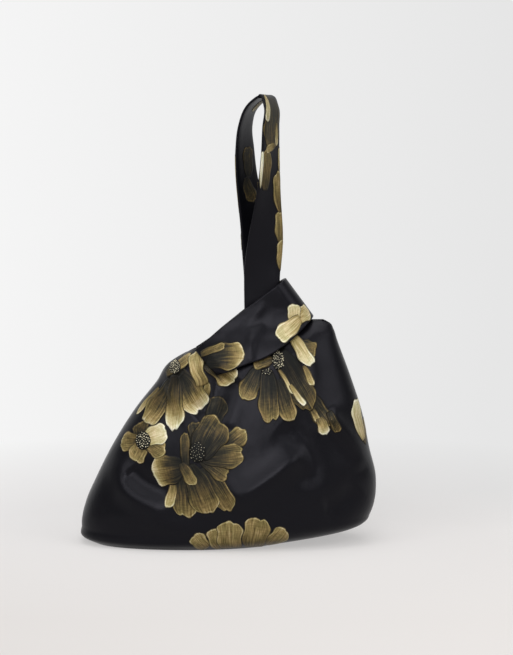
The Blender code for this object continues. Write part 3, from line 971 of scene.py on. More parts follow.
@dataclass
class Band:
    """The short handle: a doubled strip of cloth from the front round the long handle to the back.

    Attributes:
        form: the shape it lies on.
        along: faces along each half.
        across: faces across.
        rounding: faces round each long edge.
        back_drop: how much lower its upper edge hangs behind.
        root_cloth: thickness at its roots.
        full_at: distance from a root at which it has its full thickness.
        calm: distance before the fold over which its unevenness dies away.
    """

    form: BodyForm
    along: int = 96
    across: int = 30
    rounding: int = 6
    back_drop: float = 4 * MM
    root_cloth: float = 0.6 * MM
    full_at: float = 30 * MM
    calm: float = 30 * MM

    def unevenness(self, x: Points, z: Points, side: Side) -> Points:
        """Rise of the cloth over its taut shape, with its shallow folds.

        Args:
            x: places across.
            z: heights.
            side: which half of the bag.

        Returns:
            The rise at each place.
        """
        form = self.form
        rise = sum(
            height * MM * (1 + ripple(x, z, apart * MM, seed * side.value))
            for height, apart, seed in BAND_RIPPLES
        )
        to_fold = np.clip((form.over_top(form.band_low)[-1][0] - x) / self.calm, 0, 1)
        return (rise + sum(fold.height(x, z, form.tall) for fold in BAND_FOLDS)) * to_fold

    def half(self, side: Side) -> tuple[Points, Points]:
        """One half of the band.

        Args:
            side: which half of the bag it lies on.

        Returns:
            Its outer points, rows by columns from the root to the fold, and the thickness there.
        """
        form, samples = self.form, 61
        fold_columns = self.along // 3
        turn = np.linspace(0, math.pi / 2, fold_columns + 1)
        straight = np.linspace(0, 1, self.along - fold_columns + 1)
        marks = np.linspace(0, 1, samples)
        edges = (form.over_top(edge) for edge in (form.band_low, form.band_high))
        lower, upper = (curve_through(edge, samples) for edge in edges)
        rows, cloth = [], []
        for b in np.linspace(0, 1, self.across + 1):
            line = (1 - b) * lower + b * upper
            length = run(line)
            start = length[-1] - form.band_round
            reach = np.r_[straight * start, start + form.band_round * np.sin(turn[1:])]
            share = np.interp(reach, length, marks)
            x, z = (np.interp(share, marks, part) for part in line.T)
            z = z - self.back_drop * (side is Side.BACK) * b * (1 - share) * np.clip(share * 6, 0, 1)
            depth = form.band_depth(x, z, side) + self.unevenness(x, z, side) * np.clip(share * 5, 0, 1)
            depth[-1] = 0
            rows.append(np.stack([x, side.value * depth, z], 1))
            full = np.clip(reach / self.full_at, 0, 1)
            cloth.append(self.root_cloth + (form.band_cloth - self.root_cloth) * full)
        return np.array(rows), np.array(cloth)

    def whole(self) -> tuple[Points, Points, Points]:
        """The whole band.

        Returns:
            Its outer points, the thickness there and the outward normals.
        """
        front, front_cloth = self.half(Side.FRONT)
        back, back_cloth = self.half(Side.BACK)
        outer = np.concatenate([front, back[:, -2::-1]], axis=1)
        cloth = np.concatenate([front_cloth, back_cloth[:, -2::-1]], axis=1)
        return outer, cloth, grid_normals(outer)

    def surface(self) -> Surface:
        """The outside of the band as cloth that can be drawn on.

        Returns:
            The surface: u from the front root, v from the lower edge.
        """
        columns = 260
        outer, _, _ = self.whole()
        width = np.linalg.norm(outer[-1, self.along // 2] - outer[0, self.along // 2])
        levels = np.linspace(0, width, len(outer))
        return Surface.through(outer, levels, np.zeros(len(outer)), columns)

    def ring(self) -> Points:
        """The band's cut edge, once round.

        Returns:
            Rows of place across from 0 to 1, distance outwards and distance past the long edge.
        """
        angles = np.linspace(0, math.pi, self.rounding + 1)
        flat_rows = np.linspace(0, 1, self.across + 1)
        ring = [(row, 1.0, 0.0) for row in flat_rows]
        ring += [(1.0, math.cos(angle), math.sin(angle)) for angle in angles[1:-1]]
        ring += [(row, -1.0, 0.0) for row in flat_rows[::-1]]
        ring += [(0.0, -math.cos(angle), -math.sin(angle)) for angle in angles[1:-1]]
        return np.array(ring + ring[:1])

    def build(self) -> bpy.types.Object:
        """Builds the band, a strip with rounded long edges.

        Returns:
            The piece.
        """
        outer, cloth, outward = self.whole()
        middle = outer - outward * cloth[..., None] / 2
        columns, ring = outer.shape[1] - 1, self.ring()
        made, a, b = grid(columns, len(ring) - 1)
        column = np.rint(a * columns).astype(int)
        place = ring[np.rint(b * (len(ring) - 1)).astype(int)]
        row = place[:, 0] * self.across
        low = np.minimum(row.astype(int), self.across - 1)
        mix = (row - low)[:, None]
        core = (1 - mix) * middle[low, column] + mix * middle[low + 1, column]
        lean = unit((1 - mix) * outward[low, column] + mix * outward[low + 1, column])
        half = ((1 - mix[:, 0]) * cloth[low, column] + mix[:, 0] * cloth[low + 1, column]) / 2
        sideways = unit(middle[1:, :] - middle[:-1, :])[low, column]
        from_middle = place[:, :1] - 0.5
        past = (place[:, 2] * half)[:, None] * sideways - sideways * np.sign(from_middle) * half[:, None]
        past = np.where(np.abs(from_middle) > 0.499, past, 0)
        move(made, core + lean * (place[:, 1] * half)[:, None] + past)
        close_up(made)
        x, y, z = np.array([vertex.co for vertex in made.verts]).T
        return shaped("short_handle_cloth", made, np.stack([x + y, z], 1))

    def dress(self, piece: bpy.types.Object, finish: bpy.types.Material) -> None:
        """Finishes the band and lets it stand for its node.

        Args:
            piece: the band.
            finish: its material.
        """
        dress(piece, finish)
        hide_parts("short_handle")


@dataclass
class Strap:
    """The long handle: a flat padded strap bent into a loop, both feet inside the knot.

    Attributes:
        form: the body that it stands in.
        steps: faces along it.
        flat: faces across each side of it.
        rounding: faces round each long edge.
        foot_drop: how deep the feet reach, in mm from the top of the body.
        foot_middle: place across of the feet, in mm.
        panel_cloth: thickness of the cloth that the feet stay clear of, in mm.
        foot_clear: room between them, in mm.
        foot_draw: how much more room there is further up, in mm.
        front: stations of the front strand: place across, height over the body and distance beyond the
            neck, in mm, then the turn of the strap's width in degrees and the width in mm.
        back: stations of the back strand.
        loop_top: the station where the two strands meet.
    """

    form: BodyForm
    steps: int = 300
    flat: int = 18
    rounding: int = 5
    foot_drop: float = 26
    foot_middle: float = 33
    panel_cloth: float = 1.6
    foot_clear: float = 0.7
    foot_draw: float = 6
    front: tuple[tuple[float, ...], ...] = (
        (31.8, -6, 1.8, 0, 34),
        (31.2, 19, 0.2, 0, 33.5),
        (31.2, 41, 0, 2, 34),
        (34.6, 77, 1.2, 20, 34.5),
        (37, 112, 2.4, 42, 32),
        (38.8, 152, 2.8, 57, 31),
        (39.5, 182, 2.8, 61, 31),
        (40.2, 199, 2, 65, 31),
    )
    back: tuple[tuple[float, ...], ...] = (
        (26.5, 205, -2, 69, 31),
        (19.8, 197, 1.2, 70, 31),
        (15.6, 183, 2.6, 67, 31),
        (15, 160, 3, 57, 31),
        (17.3, 130, 2.8, 48, 31),
        (20.6, 112, 2.6, 41, 32),
        (26.2, 85, 1.6, 25, 33.5),
        (29.4, 60, 0.8, 9, 34),
        (31, 41, 0, 2, 34),
        (31, 19, 0.2, 0, 33.5),
        (31.8, -6, 1.8, 0, 34),
    )
    loop_top: tuple[float, ...] = (35, 210, -1, 69, 31)

    def foot(self, above: tuple[float, ...], side: Side) -> list[tuple[float, ...]]:
        """Stations of a strand inside the body.

        Args:
            above: the strand's lowest station.
            side: which strand.

        Returns:
            The stations, from the lowest up, with their distance from the middle plane.
        """
        form, stations = self.form, []
        edges = np.array([-0.5, 0, 0.5]) * above[4] + self.foot_middle
        for share in (0.0, 0.4):
            up = -self.foot_drop + (above[1] + self.foot_drop) * share
            z = np.full(3, form.tall + up * MM)
            inside = form.panel_depth(edges * MM, z, side).min() / MM
            inside = inside - self.panel_cloth - form.strap_cloth / MM / 2
            away = self.foot_clear + self.foot_draw * share
            middle = self.foot_middle + (above[0] - self.foot_middle) * share
            stations.append((middle, up, side.value * (inside - away), above[3], above[4]))
        return stations

    def line(self) -> tuple[Points, Points, Points, Points]:
        """The strap's middle line.

        Returns:
            Its points, its directions across and outwards, and its half width.
        """
        neck = self.form.neck / MM
        front = [(x, up, -neck - out, *rest) for x, up, out, *rest in self.front]
        back = [(x, up, neck + out, *rest) for x, up, out, *rest in self.back]
        front = self.foot(self.front[0], Side.FRONT) + front
        back = back + self.foot(self.back[-1], Side.BACK)[::-1]
        stations = np.array(front + [self.loop_top] + back, float)[:, [0, 2, 1, 3, 4]]
        stations[:, [0, 1, 2, 4]] *= MM
        stations[:, 2] += self.form.tall
        line = curve_through(stations, self.steps + 1, 3)
        forward = unit(np.gradient(line[:, :3], axis=0))
        turn = np.radians(line[:, 3])
        wide = np.stack([np.cos(turn), np.sin(turn), np.zeros_like(turn)], 1)
        wide = unit(wide - forward * (wide * forward).sum(1, keepdims=True))
        return line[:, :3], wide, np.cross(forward, wide), line[:, 4] / 2

    def surface(self, face: Face) -> Surface:
        """One face of the strap as cloth that can be drawn on.

        Args:
            face: which of the two.

        Returns:
            The surface: u across from the middle line, v along from the front foot.
        """
        columns = 61
        middle, wide, outward, half = self.line()
        places = np.linspace(-1, 1, columns)
        rows = []
        for k in range(len(middle)):
            across, out = self.profile(places, half[k])
            rows.append(middle[k] + wide[k] * across[:, None] + outward[k] * (face.value * out)[:, None])
        return Surface.through(rows, run(middle), half, columns, face is Face.INNER)

    def profile(self, places: Points, half: Points) -> tuple[Points, Points]:
        """The strap cut across.

        Args:
            places: places across, from -1 to 1.
            half: half width of the strap there.

        Returns:
            Distance across and distance from the middle of the cloth, on one face.
        """
        thick = self.form.strap_cloth / 2
        across = places * half
        from_edge = np.clip((half - np.abs(across)) / thick, 0, 1)
        rounded = np.sqrt(1 - (1 - from_edge) ** 2)
        padded = 1 - 0.18 * np.clip((np.abs(places) - 0.72) / 0.2, 0, 1)
        return across, thick * rounded * padded

    def build(self) -> bpy.types.Object:
        """Builds the strap.

        Returns:
            The piece.
        """
        middle, wide, outward, half = self.line()
        turn = np.linspace(0, math.pi / 2, self.rounding + 1)
        edge = 1 - 0.1 * (1 - np.sin(turn))
        places = np.r_[-edge[::-1], np.linspace(-edge[0], edge[0], self.flat + 1)[1:-1], edge]
        ring = [(place, 1) for place in places] + [(place, -1) for place in places[::-1][1:]]
        made, a, b = grid(self.steps, len(ring) - 1)
        step = np.rint(a * self.steps).astype(int)
        spot = np.array(ring)[np.rint(b * (len(ring) - 1)).astype(int)]
        across, out = self.profile(spot[:, 0], half[step])
        move(made, middle[step] + wide[step] * across[:, None] + outward[step] * (spot[:, 1] * out)[:, None])
        mark_flat(made, np.stack([across, step / self.steps * 0.5], 1))
        close_up(made)
        return shaped("long_handle_cloth", made)

    def dress(self, piece: bpy.types.Object, finish: bpy.types.Material) -> None:
        """Finishes the strap and lets it stand for its node.

        Args:
            piece: the strap.
            finish: its material.
        """
        dress(piece, finish)
        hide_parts("long_handle")


# Flowers


@dataclass(frozen=True)
class Petal:
    """One woven petal, drawn flat on the cloth.

    Attributes:
        base: where it grows from, in mm.
        tip: the middle of its far edge, in mm.
        width: its greatest width, in mm.
        tone: how bright its gold is, from 0, bronze, to 1, cream: partly its own gold and partly painted
            light and shade, lighter where it faces the light and darker where it lies in shade.
        rim: how much brighter it is at its far edge: partly its lighter woven tip and partly a painted
            highlight.
        bend: how far it bows sideways, as a share of its length.
        waist: its width at the base, as a share of the greatest.
        lobes: how many scallops its far edge has.
    """

    base: Pair
    tip: Pair
    width: float
    tone: float = 0.3
    rim: float = 0.2
    bend: float = 0.0
    waist: float = 0.4
    lobes: float = 1.5

    def meets(self, other: "Petal") -> bool:
        """Whether two petals may overlap.

        Args:
            other: the other petal.

        Returns:
            True if their middle lines come closer than their widths allow.
        """
        share = np.linspace(0, 1, 9)[:, None]
        ours, theirs = ((1 - share) * petal.base + share * petal.tip for petal in (self, other))
        apart = np.linalg.norm(ours[:, None] - theirs[None], axis=-1).min()
        return bool(apart < (self.width + other.width) * 0.48)

    def outline(self, a: Points, b: Points, seed: float) -> tuple[Points, Points]:
        """Flat places of the petal, in metres, and how far each lies from its border.

        Args:
            a: places across, from 0 to 1.
            b: places from base to tip, from 0 to 1.
            seed: makes each petal's edge its own.

        Returns:
            The flat places and the distances.
        """
        s = 2 * a - 1
        widest, shoulder = 0.66, 0.5
        base, tip = np.array(self.base) * MM, np.array(self.tip) * MM
        length = float(np.linalg.norm(tip - base))
        ahead = (tip - base) / length
        aside = np.array([ahead[1], -ahead[0]])
        opening = np.sin(np.clip(b / widest, 0, 1) * math.pi / 2) ** 0.85
        half = self.width * MM / 2 * (self.waist + (1 - self.waist) * opening)
        cap = np.clip((b - shoulder) / (1 - shoulder), 0, 1)
        wave = 0.024 * np.cos(s * 3 * self.lobes + seed * 5.3) + 0.008 * np.cos(s * 9 + seed * 9.1)
        notch = 0.04 * np.exp(-(((s - 0.4 * math.sin(seed * 4.1)) / 0.16) ** 2))
        rounded = (1 - shoulder) * cap * np.sqrt(1 - 0.46 * s**2)
        reach = (np.minimum(b, shoulder) + rounded + (wave - notch) * cap**2) * length
        ruffle = 1 + 0.11 * np.sin(b * 9 + seed * 3.7 + s) * np.abs(s)
        sideways = s * half * ruffle * np.sqrt(1 - 0.38 * cap**2) + self.bend * length * b**2
        flat = base + np.outer(reach, ahead) + np.outer(sideways, aside)
        border = np.minimum((1 - np.abs(s)) * half, (1 - b) * length)
        return flat, border


@dataclass(frozen=True)
class Stamens:
    """The dotted heart of a flower.

    Attributes:
        middle: its middle, in mm.
        reach: its half sizes across and up, in mm.
        count: how many dots.
        size: radius of a dot, in mm.
    """

    middle: Pair
    reach: Pair
    count: int = 44
    size: float = 0.68

    def disc(self, a: Points, b: Points) -> tuple[Points, Points]:
        """The dark ground under the dots.

        Args:
            a: places across, from 0 to 1.
            b: places up, from 0 to 1.

        Returns:
            Its flat places, in metres, and how far each lies from its border.
        """
        past_dots = 1.06
        s, t = 2 * a - 1, 2 * b - 1
        round_place = np.stack([s * np.sqrt(1 - t**2 / 2), t * np.sqrt(1 - s**2 / 2)], 1)
        flat = (np.array(self.middle) + round_place * self.reach * past_dots) * MM
        return flat, (1 - np.maximum(np.abs(s), np.abs(t))) * min(self.reach) * MM


@dataclass(frozen=True)
class Bloom:
    """A whole flower, seen from above.

    Attributes:
        middle: its middle, in mm.
        reach: how long its petals are, in mm.
        turn: how far it is turned, in degrees.
        tone: how bright its gold is.
        count: how many petals.
    """

    middle: Pair
    reach: float
    turn: float
    tone: float
    count: int

    def heart(self) -> Stamens:
        """The flower's dotted heart."""
        return Stamens(self.middle, (0.26 * self.reach, 0.24 * self.reach))

    def petals(self) -> list[Petal]:
        """The flower's petals, each a little unlike the others.

        Returns:
            The petals.
        """
        petals = []
        root, wide, rim, bend, waist, lobes = 0.1 * self.reach, 1.12, 0.24, 0.04, 0.35, 1.5
        width = wide * self.reach * math.sin(math.pi / self.count) * 2
        for k in range(self.count):
            angle = math.radians(self.turn + 360 / self.count * (k + 0.18 * math.sin(k * 2.3 + self.turn)))
            long = self.reach * (0.92 + 0.12 * math.sin(k * 1.9 + self.turn))
            ahead = np.array([math.cos(angle), math.sin(angle)])
            ends = (tuple(np.round(np.array(self.middle) + ahead * away, 1)) for away in (root, long))
            shade = self.tone + 0.1 * math.sin(k * 2.7 + self.turn)
            petals.append(Petal(*ends, width, shade, rim, bend, waist, lobes))
        return petals


@dataclass
class Brocade:
    """The flowers woven into one surface.

    Attributes:
        name: the piece's name.
        surface: the cloth they lie on.
        petals: the petals, from the lowest to the uppermost.
        stamens: the dotted hearts.
        lift: height of the lowest petals over the cloth.
        layer: how much higher a petal lies than the one under it.
        thread: how thick a petal is.
        ground: brightness of the ground under a heart.
        ground_size: width and length that its faces are spread over, in mm.
        face: width of a petal's faces, in mm.
        fewest: fewest faces across or along a petal.
        most: most faces across or along a petal.
        scatter: how unevenly the dots of a heart are spread, in mm.
    """

    name: str
    surface: Surface
    petals: list[Petal] = field(default_factory=list)
    stamens: list[Stamens] = field(default_factory=list)
    lift: float = 0.22 * MM
    layer: float = 0.036 * MM
    thread: float = 0.18 * MM
    ground: float = -0.1
    ground_size: Pair = (9, 9)
    face: float = 1.6
    fewest: int = 6
    most: int = 18
    scatter: float = 0.25

    def layers(self) -> list[int]:
        """How many layers of petals lie under each petal.

        Returns:
            A number for each petal.
        """
        under = []
        for index, petal in enumerate(self.petals):
            below = [under[k] + 1 for k in range(index) if petal.meets(self.petals[k])]
            under.append(max(below, default=0))
        return under

    def with_blooms(self, blooms: list[Bloom]) -> "Brocade":
        """The same cloth with whole flowers added.

        Args:
            blooms: the flowers.

        Returns:
            The cloth.
        """
        petals, stamens = list(self.petals), list(self.stamens)
        for flower in blooms:
            petals += flower.petals()
            stamens.append(flower.heart())
        return Brocade(self.name, self.surface, petals, stamens)

    def draw(self, whole: bmesh.types.BMesh, shape: Petal | Stamens, index: int, under: int) -> None:
        """Adds one petal, or the ground of one heart, to the mesh.

        Args:
            whole: the mesh of all the flowers.
            shape: what is drawn.
            index: its number, which gives it its own edge and its own streaks.
            under: how many layers lie under it.
        """
        # A petal's tone and rim go onto its vertices; they carry painted light and shade as well as the
        # gold's own tone.
        if isinstance(shape, Petal):
            sizes, bright, brighter = (shape.width, math.dist(shape.base, shape.tip)), shape.tone, shape.rim
        else:
            sizes, bright, brighter = self.ground_size, self.ground, 0.0
        made, a, b = grid(*(max(self.fewest, min(self.most, round(size / self.face))) for size in sizes))
        flat, edge = shape.outline(a, b, index * 1.7) if isinstance(shape, Petal) else shape.disc(a, b)
        flat = np.stack(self.surface.held(flat[:, 0], flat[:, 1]), 1)
        points = self.surface.lay(flat[:, 0], flat[:, 1], np.full(len(flat), self.lift + self.layer * under))
        corners = []
        for point, distance in zip(points, edge):
            corner = whole.verts.new(point)
            for name, value in (("tone", bright), ("border", distance / MM), ("rim", brighter)):
                corner[whole.verts.layers.float[name]] = value
            corners.append(corner)
        least_area, margin = 1e-9, 0.01
        for face in made.faces:
            outline = flat[[vertex.index for vertex in face.verts]]
            across, up = outline[2] - outline[0], outline[3] - outline[1]
            if abs(across[0] * up[1] - across[1] * up[0]) < least_area:
                continue
            drawn = whole.faces.new([corners[vertex.index] for vertex in face.verts])
            for corner, vertex in zip(drawn.loops, face.verts):
                place = a[vertex.index] * (1 - 2 * margin) + margin + index
                corner[whole.loops.layers.uv["petal"]].uv = (place, b[vertex.index])
        made.free()

    def build(self) -> bpy.types.Object:
        """Builds all the petals as one piece.

        Returns:
            The piece.
        """
        whole = bmesh.new()
        for name in ("tone", "border", "rim"):
            whole.verts.layers.float.new(name)
        whole.loops.layers.uv.new("petal")
        under = self.layers()
        under += [max(under) + 1] * len(self.stamens)
        for index, shape in enumerate(self.petals + self.stamens):
            self.draw(whole, shape, index, under[index])
        loose = [corner for corner in whole.verts if not corner.link_faces]
        bmesh.ops.delete(whole, geom=loose, context="VERTS")
        if self.surface.turned:
            bmesh.ops.reverse_faces(whole, faces=whole.faces)
        piece = shaped(self.name, whole)
        thicken(piece, self.thread)
        return piece

    def build_stamens(self) -> bpy.types.Object:
        """Builds all the dotted hearts as one piece.

        Returns:
            The piece.
        """
        golden_turn, over_petals = 2.39996, 3
        whole = bmesh.new()
        pick = np.random.default_rng(7)
        lift = self.lift + self.layer * (max(self.layers()) + over_petals)
        for heart in self.stamens:
            for k in range(heart.count):
                away = math.sqrt((k + 0.5) / heart.count)
                ahead = np.array([math.cos(k * golden_turn), math.sin(k * golden_turn)])
                place = away * ahead * heart.reach + pick.normal(0, self.scatter, 2)
                place = (np.array(heart.middle) + place) * MM
                point = self.surface.lay(place[:1], place[1:], np.array([lift]))[0]
                size = heart.size * MM * pick.uniform(0.7, 1.25)
                dot = bmesh.ops.create_icosphere(whole, subdivisions=1, radius=size)["verts"]
                bmesh.ops.translate(whole, verts=dot, vec=Vector(point))
        return shaped(f"{self.name}_hearts", whole)


# The tones and rims in the petal lists below are partly the woven gold and partly painted light and shade:
# petals that face the light have lighter tones and cream rims, petals in shade darker ones.
FRONT_PETALS = [
    Petal((-36.8, 117.6), (-28.8, 144.0), 22.0, 0.02, 0.08, 0.0, 0.5, 1.5),
    Petal((-48.0, 94.4), (-52.8, 122.4), 15.1, 0.08, 0.08, 0.0, 0.5, 1.5),
    Petal((-42.4, 81.6), (-20.0, 40.0), 21.4, 0.14, 0.30, -0.05, 0.35, 1.0),
    Petal((-64.0, 76.0), (-61.6, 33.6), 24.3, 0.14, 0.34, -0.06, 0.35, 1.5),
    Petal((-72.0, 68.0), (-76.8, 42.4), 11.0, 0.42, 0.25, 0.0, 0.35, 1.0),
    Petal((-56.0, 83.2), (-40.0, 36.8), 27.8, 0.10, 0.38, -0.05, 0.3, 1.5),
    Petal((-46.4, 88.8), (-19.2, 74.4), 17.4, 0.14, 0.22, 0.1, 0.3, 1.5),
    Petal((-25.6, 96.8), (-4.0, 114.4), 19.1, 0.12, 0.38, 0.0, 0.5, 1.5),
    Petal((-45.6, 88.8), (-5.6, 92.8), 24.0, 0.12, 0.30, 0.0, 0.25, 2.0),
    Petal((-60.8, 80.8), (-92.8, 74.4), 31.3, 0.08, 0.68, 0.0, 0.3, 1.5),
    Petal((-48.0, 89.6), (-28.8, 124.8), 33.0, 0.08, 0.24, 0.0, 0.4, 1.5),
    Petal((-59.2, 80.8), (-63.2, 112.0), 10.4, 0.16, 0.1, 0.06, 0.5, 1.0),
    Petal((-64.0, 84.0), (-52.0, 64.0), 12.2, 0.26, 0.24, 0.0, 0.45, 1.0),
    Petal((-102.4, 104.0), (-109.6, 118.4), 19.9, 0.14, 0.12, 0.0, 0.4, 1.0),
    Petal((-102.4, 102.4), (-130.4, 98.4), 18.4, 0.32, 0.16),
    Petal((-102.4, 102.4), (-111.2, 83.2), 19.9, 0.38, 0.14),
    Petal((-101.6, 102.4), (-79.2, 92.8), 17.7, 0.32, 0.16),
    Petal((-101.6, 103.2), (-78.4, 112.8), 19.9, 0.66, 0.16, 0.0, 0.45, 1.5),
    Petal((-88.8, 177.6), (-66.4, 149.6), 32.3, 0.02, 0.0, 0.0, 0.5, 1.0),
    Petal((-99.2, 149.6), (-119.2, 124.8), 7.8, 0.42, 0.25, 0.0, 0.5, 1.0),
    Petal((-83.2, 157.6), (-102.4, 117.6), 24.5, 0.14, 0.46),
    Petal((-47.2, 136.8), (-40.8, 157.6), 9.7, 0.3, 0.28, -0.08, 0.6, 1.0),
    Petal((-71.0, 164.0), (-47.5, 130.5), 27.0, 0.14, 0.76, 0.0, 0.45, 1.0),
    Petal((-79.2, 164.0), (-71.2, 112.8), 20.5, 0.12, 0.84),
    Petal((-91.2, 162.4), (-56.0, 180.0), 9.7, 0.34, 0.1, 0.0, 0.5, 1.0),
    Petal((-49.6, 154.4), (-54.4, 184.0), 16.5, 0.5, 0.06, 0.03, 0.8, 1.0),
    Petal((-39.0, 177.0), (-15.5, 157.0), 25.0, 0.22, 0.5, 0.0, 0.6, 1.0),
    Petal((-41.0, 3.0), (-52.8, 17.6), 17.0, 0.46, 0.04, 0.0, 0.7, 1.0),
    Petal((17.8, 3.0), (33.6, 22.4), 19.0, 0.46, 0.04, 0.0, 0.7, 1.0),
    Petal((-27.0, 2.5), (-34.5, 24.5), 18.0, 0.46, 0.04, 0.0, 0.7, 1.0),
    Petal((-18.5, 2.5), (-19.5, 31.2), 25.5, 0.46, 0.04, 0.0, 0.7, 1.5),
    Petal((3.2, 2.0), (8.0, 34.4), 25.7, 0.42, 0.05, 0.0, 0.65, 1.5),
    Petal((8.0, 171.2), (-5.6, 141.6), 20.0, 0.10, 0.38, 0.0, 0.35, 1.0),
    Petal((21.6, 178.4), (2.4, 172.8), 11.6, 0.28, 0.1, 0.0, 0.4, 1.0),
    Petal((45.6, 188.8), (62.4, 183.2), 20.2, 0.2, 0.2, 0.0, 0.6, 1.5),
    Petal((54.0, 146.0), (73.0, 116.0), 18.5, 0.10, 0.20, -0.06, 0.65, 2.0),
    Petal((57.6, 133.6), (64.8, 120.8), 7.2, 0.35, 0.25, 0.0, 0.6, 1.0),
    Petal((65.6, 124.8), (72.0, 108.8), 11.6, 0.4, 0.5, 0.0, 0.6, 1.5),
    Petal((74.4, 130.4), (84.0, 110.4), 9.4, 0.18, 0.1, 0.0, 0.6, 1.0),
    Petal((26.4, 186.4), (56.0, 132.0), 26.8, 0.03, 0.26, -0.02, 0.4, 1.0),
    Petal((51.2, 172.0), (60.8, 153.6), 7.2, 0.4, 0.2, 0.06, 0.5, 1.0),
    Petal((40.5, 198.4), (56.5, 170.4), 13.5, 0.60, 0.24, -0.08, 0.6, 2.0),
    Petal((25.6, 160.0), (38.4, 121.6), 18.1, 0.1, 0.4, 0.0, 0.45, 1.5),
    Petal((16.0, 169.6), (18.4, 120.8), 20.2, 0.06, 0.4, 0.0, 0.45, 1.5),
    Petal((27.0, 169.0), (42.0, 148.0), 4.6, 0.46, 0.26, 0.10, 0.7, 1.0),
    Petal((37.5, 155.0), (50.4, 134.4), 6.4, 0.56, 0.30, -0.08, 0.5, 1.0),
    Petal((119.0, 97.6), (133.6, 119.2), 12.0, 0.3, 0.2, 0.0, 0.6, 1.0),
    Petal((119.0, 100.8), (109.0, 139.2), 19.0, 0.66, 0.16, 0.0, 0.45, 1.5),
]
FRONT_HEARTS = [
    Stamens((-77.6, 169.6), (7.8, 5.4)),
    Stamens((-102.4, 102.4), (7.7, 7.7)),
    Stamens((-48.8, 94.4), (7.2, 9.0), 34, 0.36),
    Stamens((26.4, 177.6), (5.2, 8.4)),
    Stamens((16.0, 167.2), (4.9, 3.0), 13, 0.46),
]
BAND_PETALS = [
    Petal((3.0, 31.0), (34.0, 9.5), 35.0, 0.02, 0.64, 0.0, 0.75, 1.5),
    Petal((2.0, 40.0), (26.4, 31.0), 10.0, 0.34, 0.05, 0.0, 0.8, 1.0),
    Petal((97.0, 11.0), (117.0, 9.0), 17.5, 0.58, 0.10, 0.0, 0.5, 1.5),
    Petal((93.6, 10.0), (102.4, 25.0), 15.4, 0.64, 0.10, 0.0, 0.5, 1.0),
    Petal((100.0, 9.0), (70.0, 9.5), 18.0, 0.62, 0.12, 0.0, 0.5, 1.5),
]
OUTER_STRAP_PETALS = [
    Petal((0.0, 256.0), (-1.0, 192.0), 29.0, 0.14, 0.10, 0.0, 0.35, 1.0),
    Petal((-9.0, 243.0), (-11.0, 218.0), 9.0, 0.66, 0.1, 0.0, 0.35, 1.0),
    Petal((8.5, 218.0), (9.0, 196.0), 6.0, 0.5, 0.1, 0.0, 0.35, 1.0),
    Petal((-6.5, 155.0), (-8.0, 193.0), 17.0, 0.3, 0.1, 0.0, 0.35, 1.5),
    Petal((-13.0, 157.0), (-15.0, 192.0), 4.5, 0.86, 0.05, 0.0, 0.35, 1.0),
    Petal((6.5, 198.0), (-10.0, 192.0), 9.0, 0.44, 0.1, 0.0, 0.35, 1.0),
    Petal((13.5, 172.0), (14.0, 196.0), 5.0, 0.55, 0.05, 0.0, 0.35, 1.0),
    Petal((15.5, 134.0), (12.0, 173.0), 19.0, 0.4, 0.05, 0.0, 0.35, 1.5),
    Petal((15.0, 107.0), (15.5, 136.0), 15.0, 0.4, 0.05, 0.0, 0.35, 1.0),
    Petal((19.0, 80.0), (17.5, 110.0), 13.0, 0.44, 0.05, 0.0, 0.35, 1.0),
    Petal((-15.0, 362.0), (-15.0, 309.0), 7.0, 0.5, 0.1, 0.0, 0.35, 1.0),
]
INNER_STRAP_PETALS = [
    Petal((6.5, 250.0), (5.5, 268.0), 11.0, 0.45, 0.2, 0.0, 0.35, 1.0),
    Petal((1.5, 331.0), (4.0, 301.0), 17.0, 0.14, 0.05, 0.0, 0.35, 1.0),
    Petal((-2.5, 331.0), (2.0, 355.0), 16.0, 0.16, 0.05, 0.0, 0.35, 1.0),
    Petal((14.0, 337.0), (13.0, 353.0), 6.0, 0.55, 0.1, 0.0, 0.35, 1.0),
]
BACK_BLOOMS = [
    Bloom((-96, 60), 31, 20, 0.22, 7),
    Bloom((-24, 104), 34, 75, 0.18, 7),
    Bloom((56, 62), 30, 130, 0.24, 6),
    Bloom((84, 132), 22, 40, 0.50, 5),
    Bloom((-66, 152), 19, 10, 0.42, 5),
    Bloom((-22, 28), 20, 60, 0.46, 5),
]
BAND_BLOOMS = [Bloom((158, 26), 21, 15, 0.25, 6), Bloom((208, 30), 17, 50, 0.5, 5)]
STRAP_BLOOMS = [Bloom((4, 440), 21, 20, 0.28, 6), Bloom((-6, 392), 15, 65, 0.5, 5)]


# Finishes


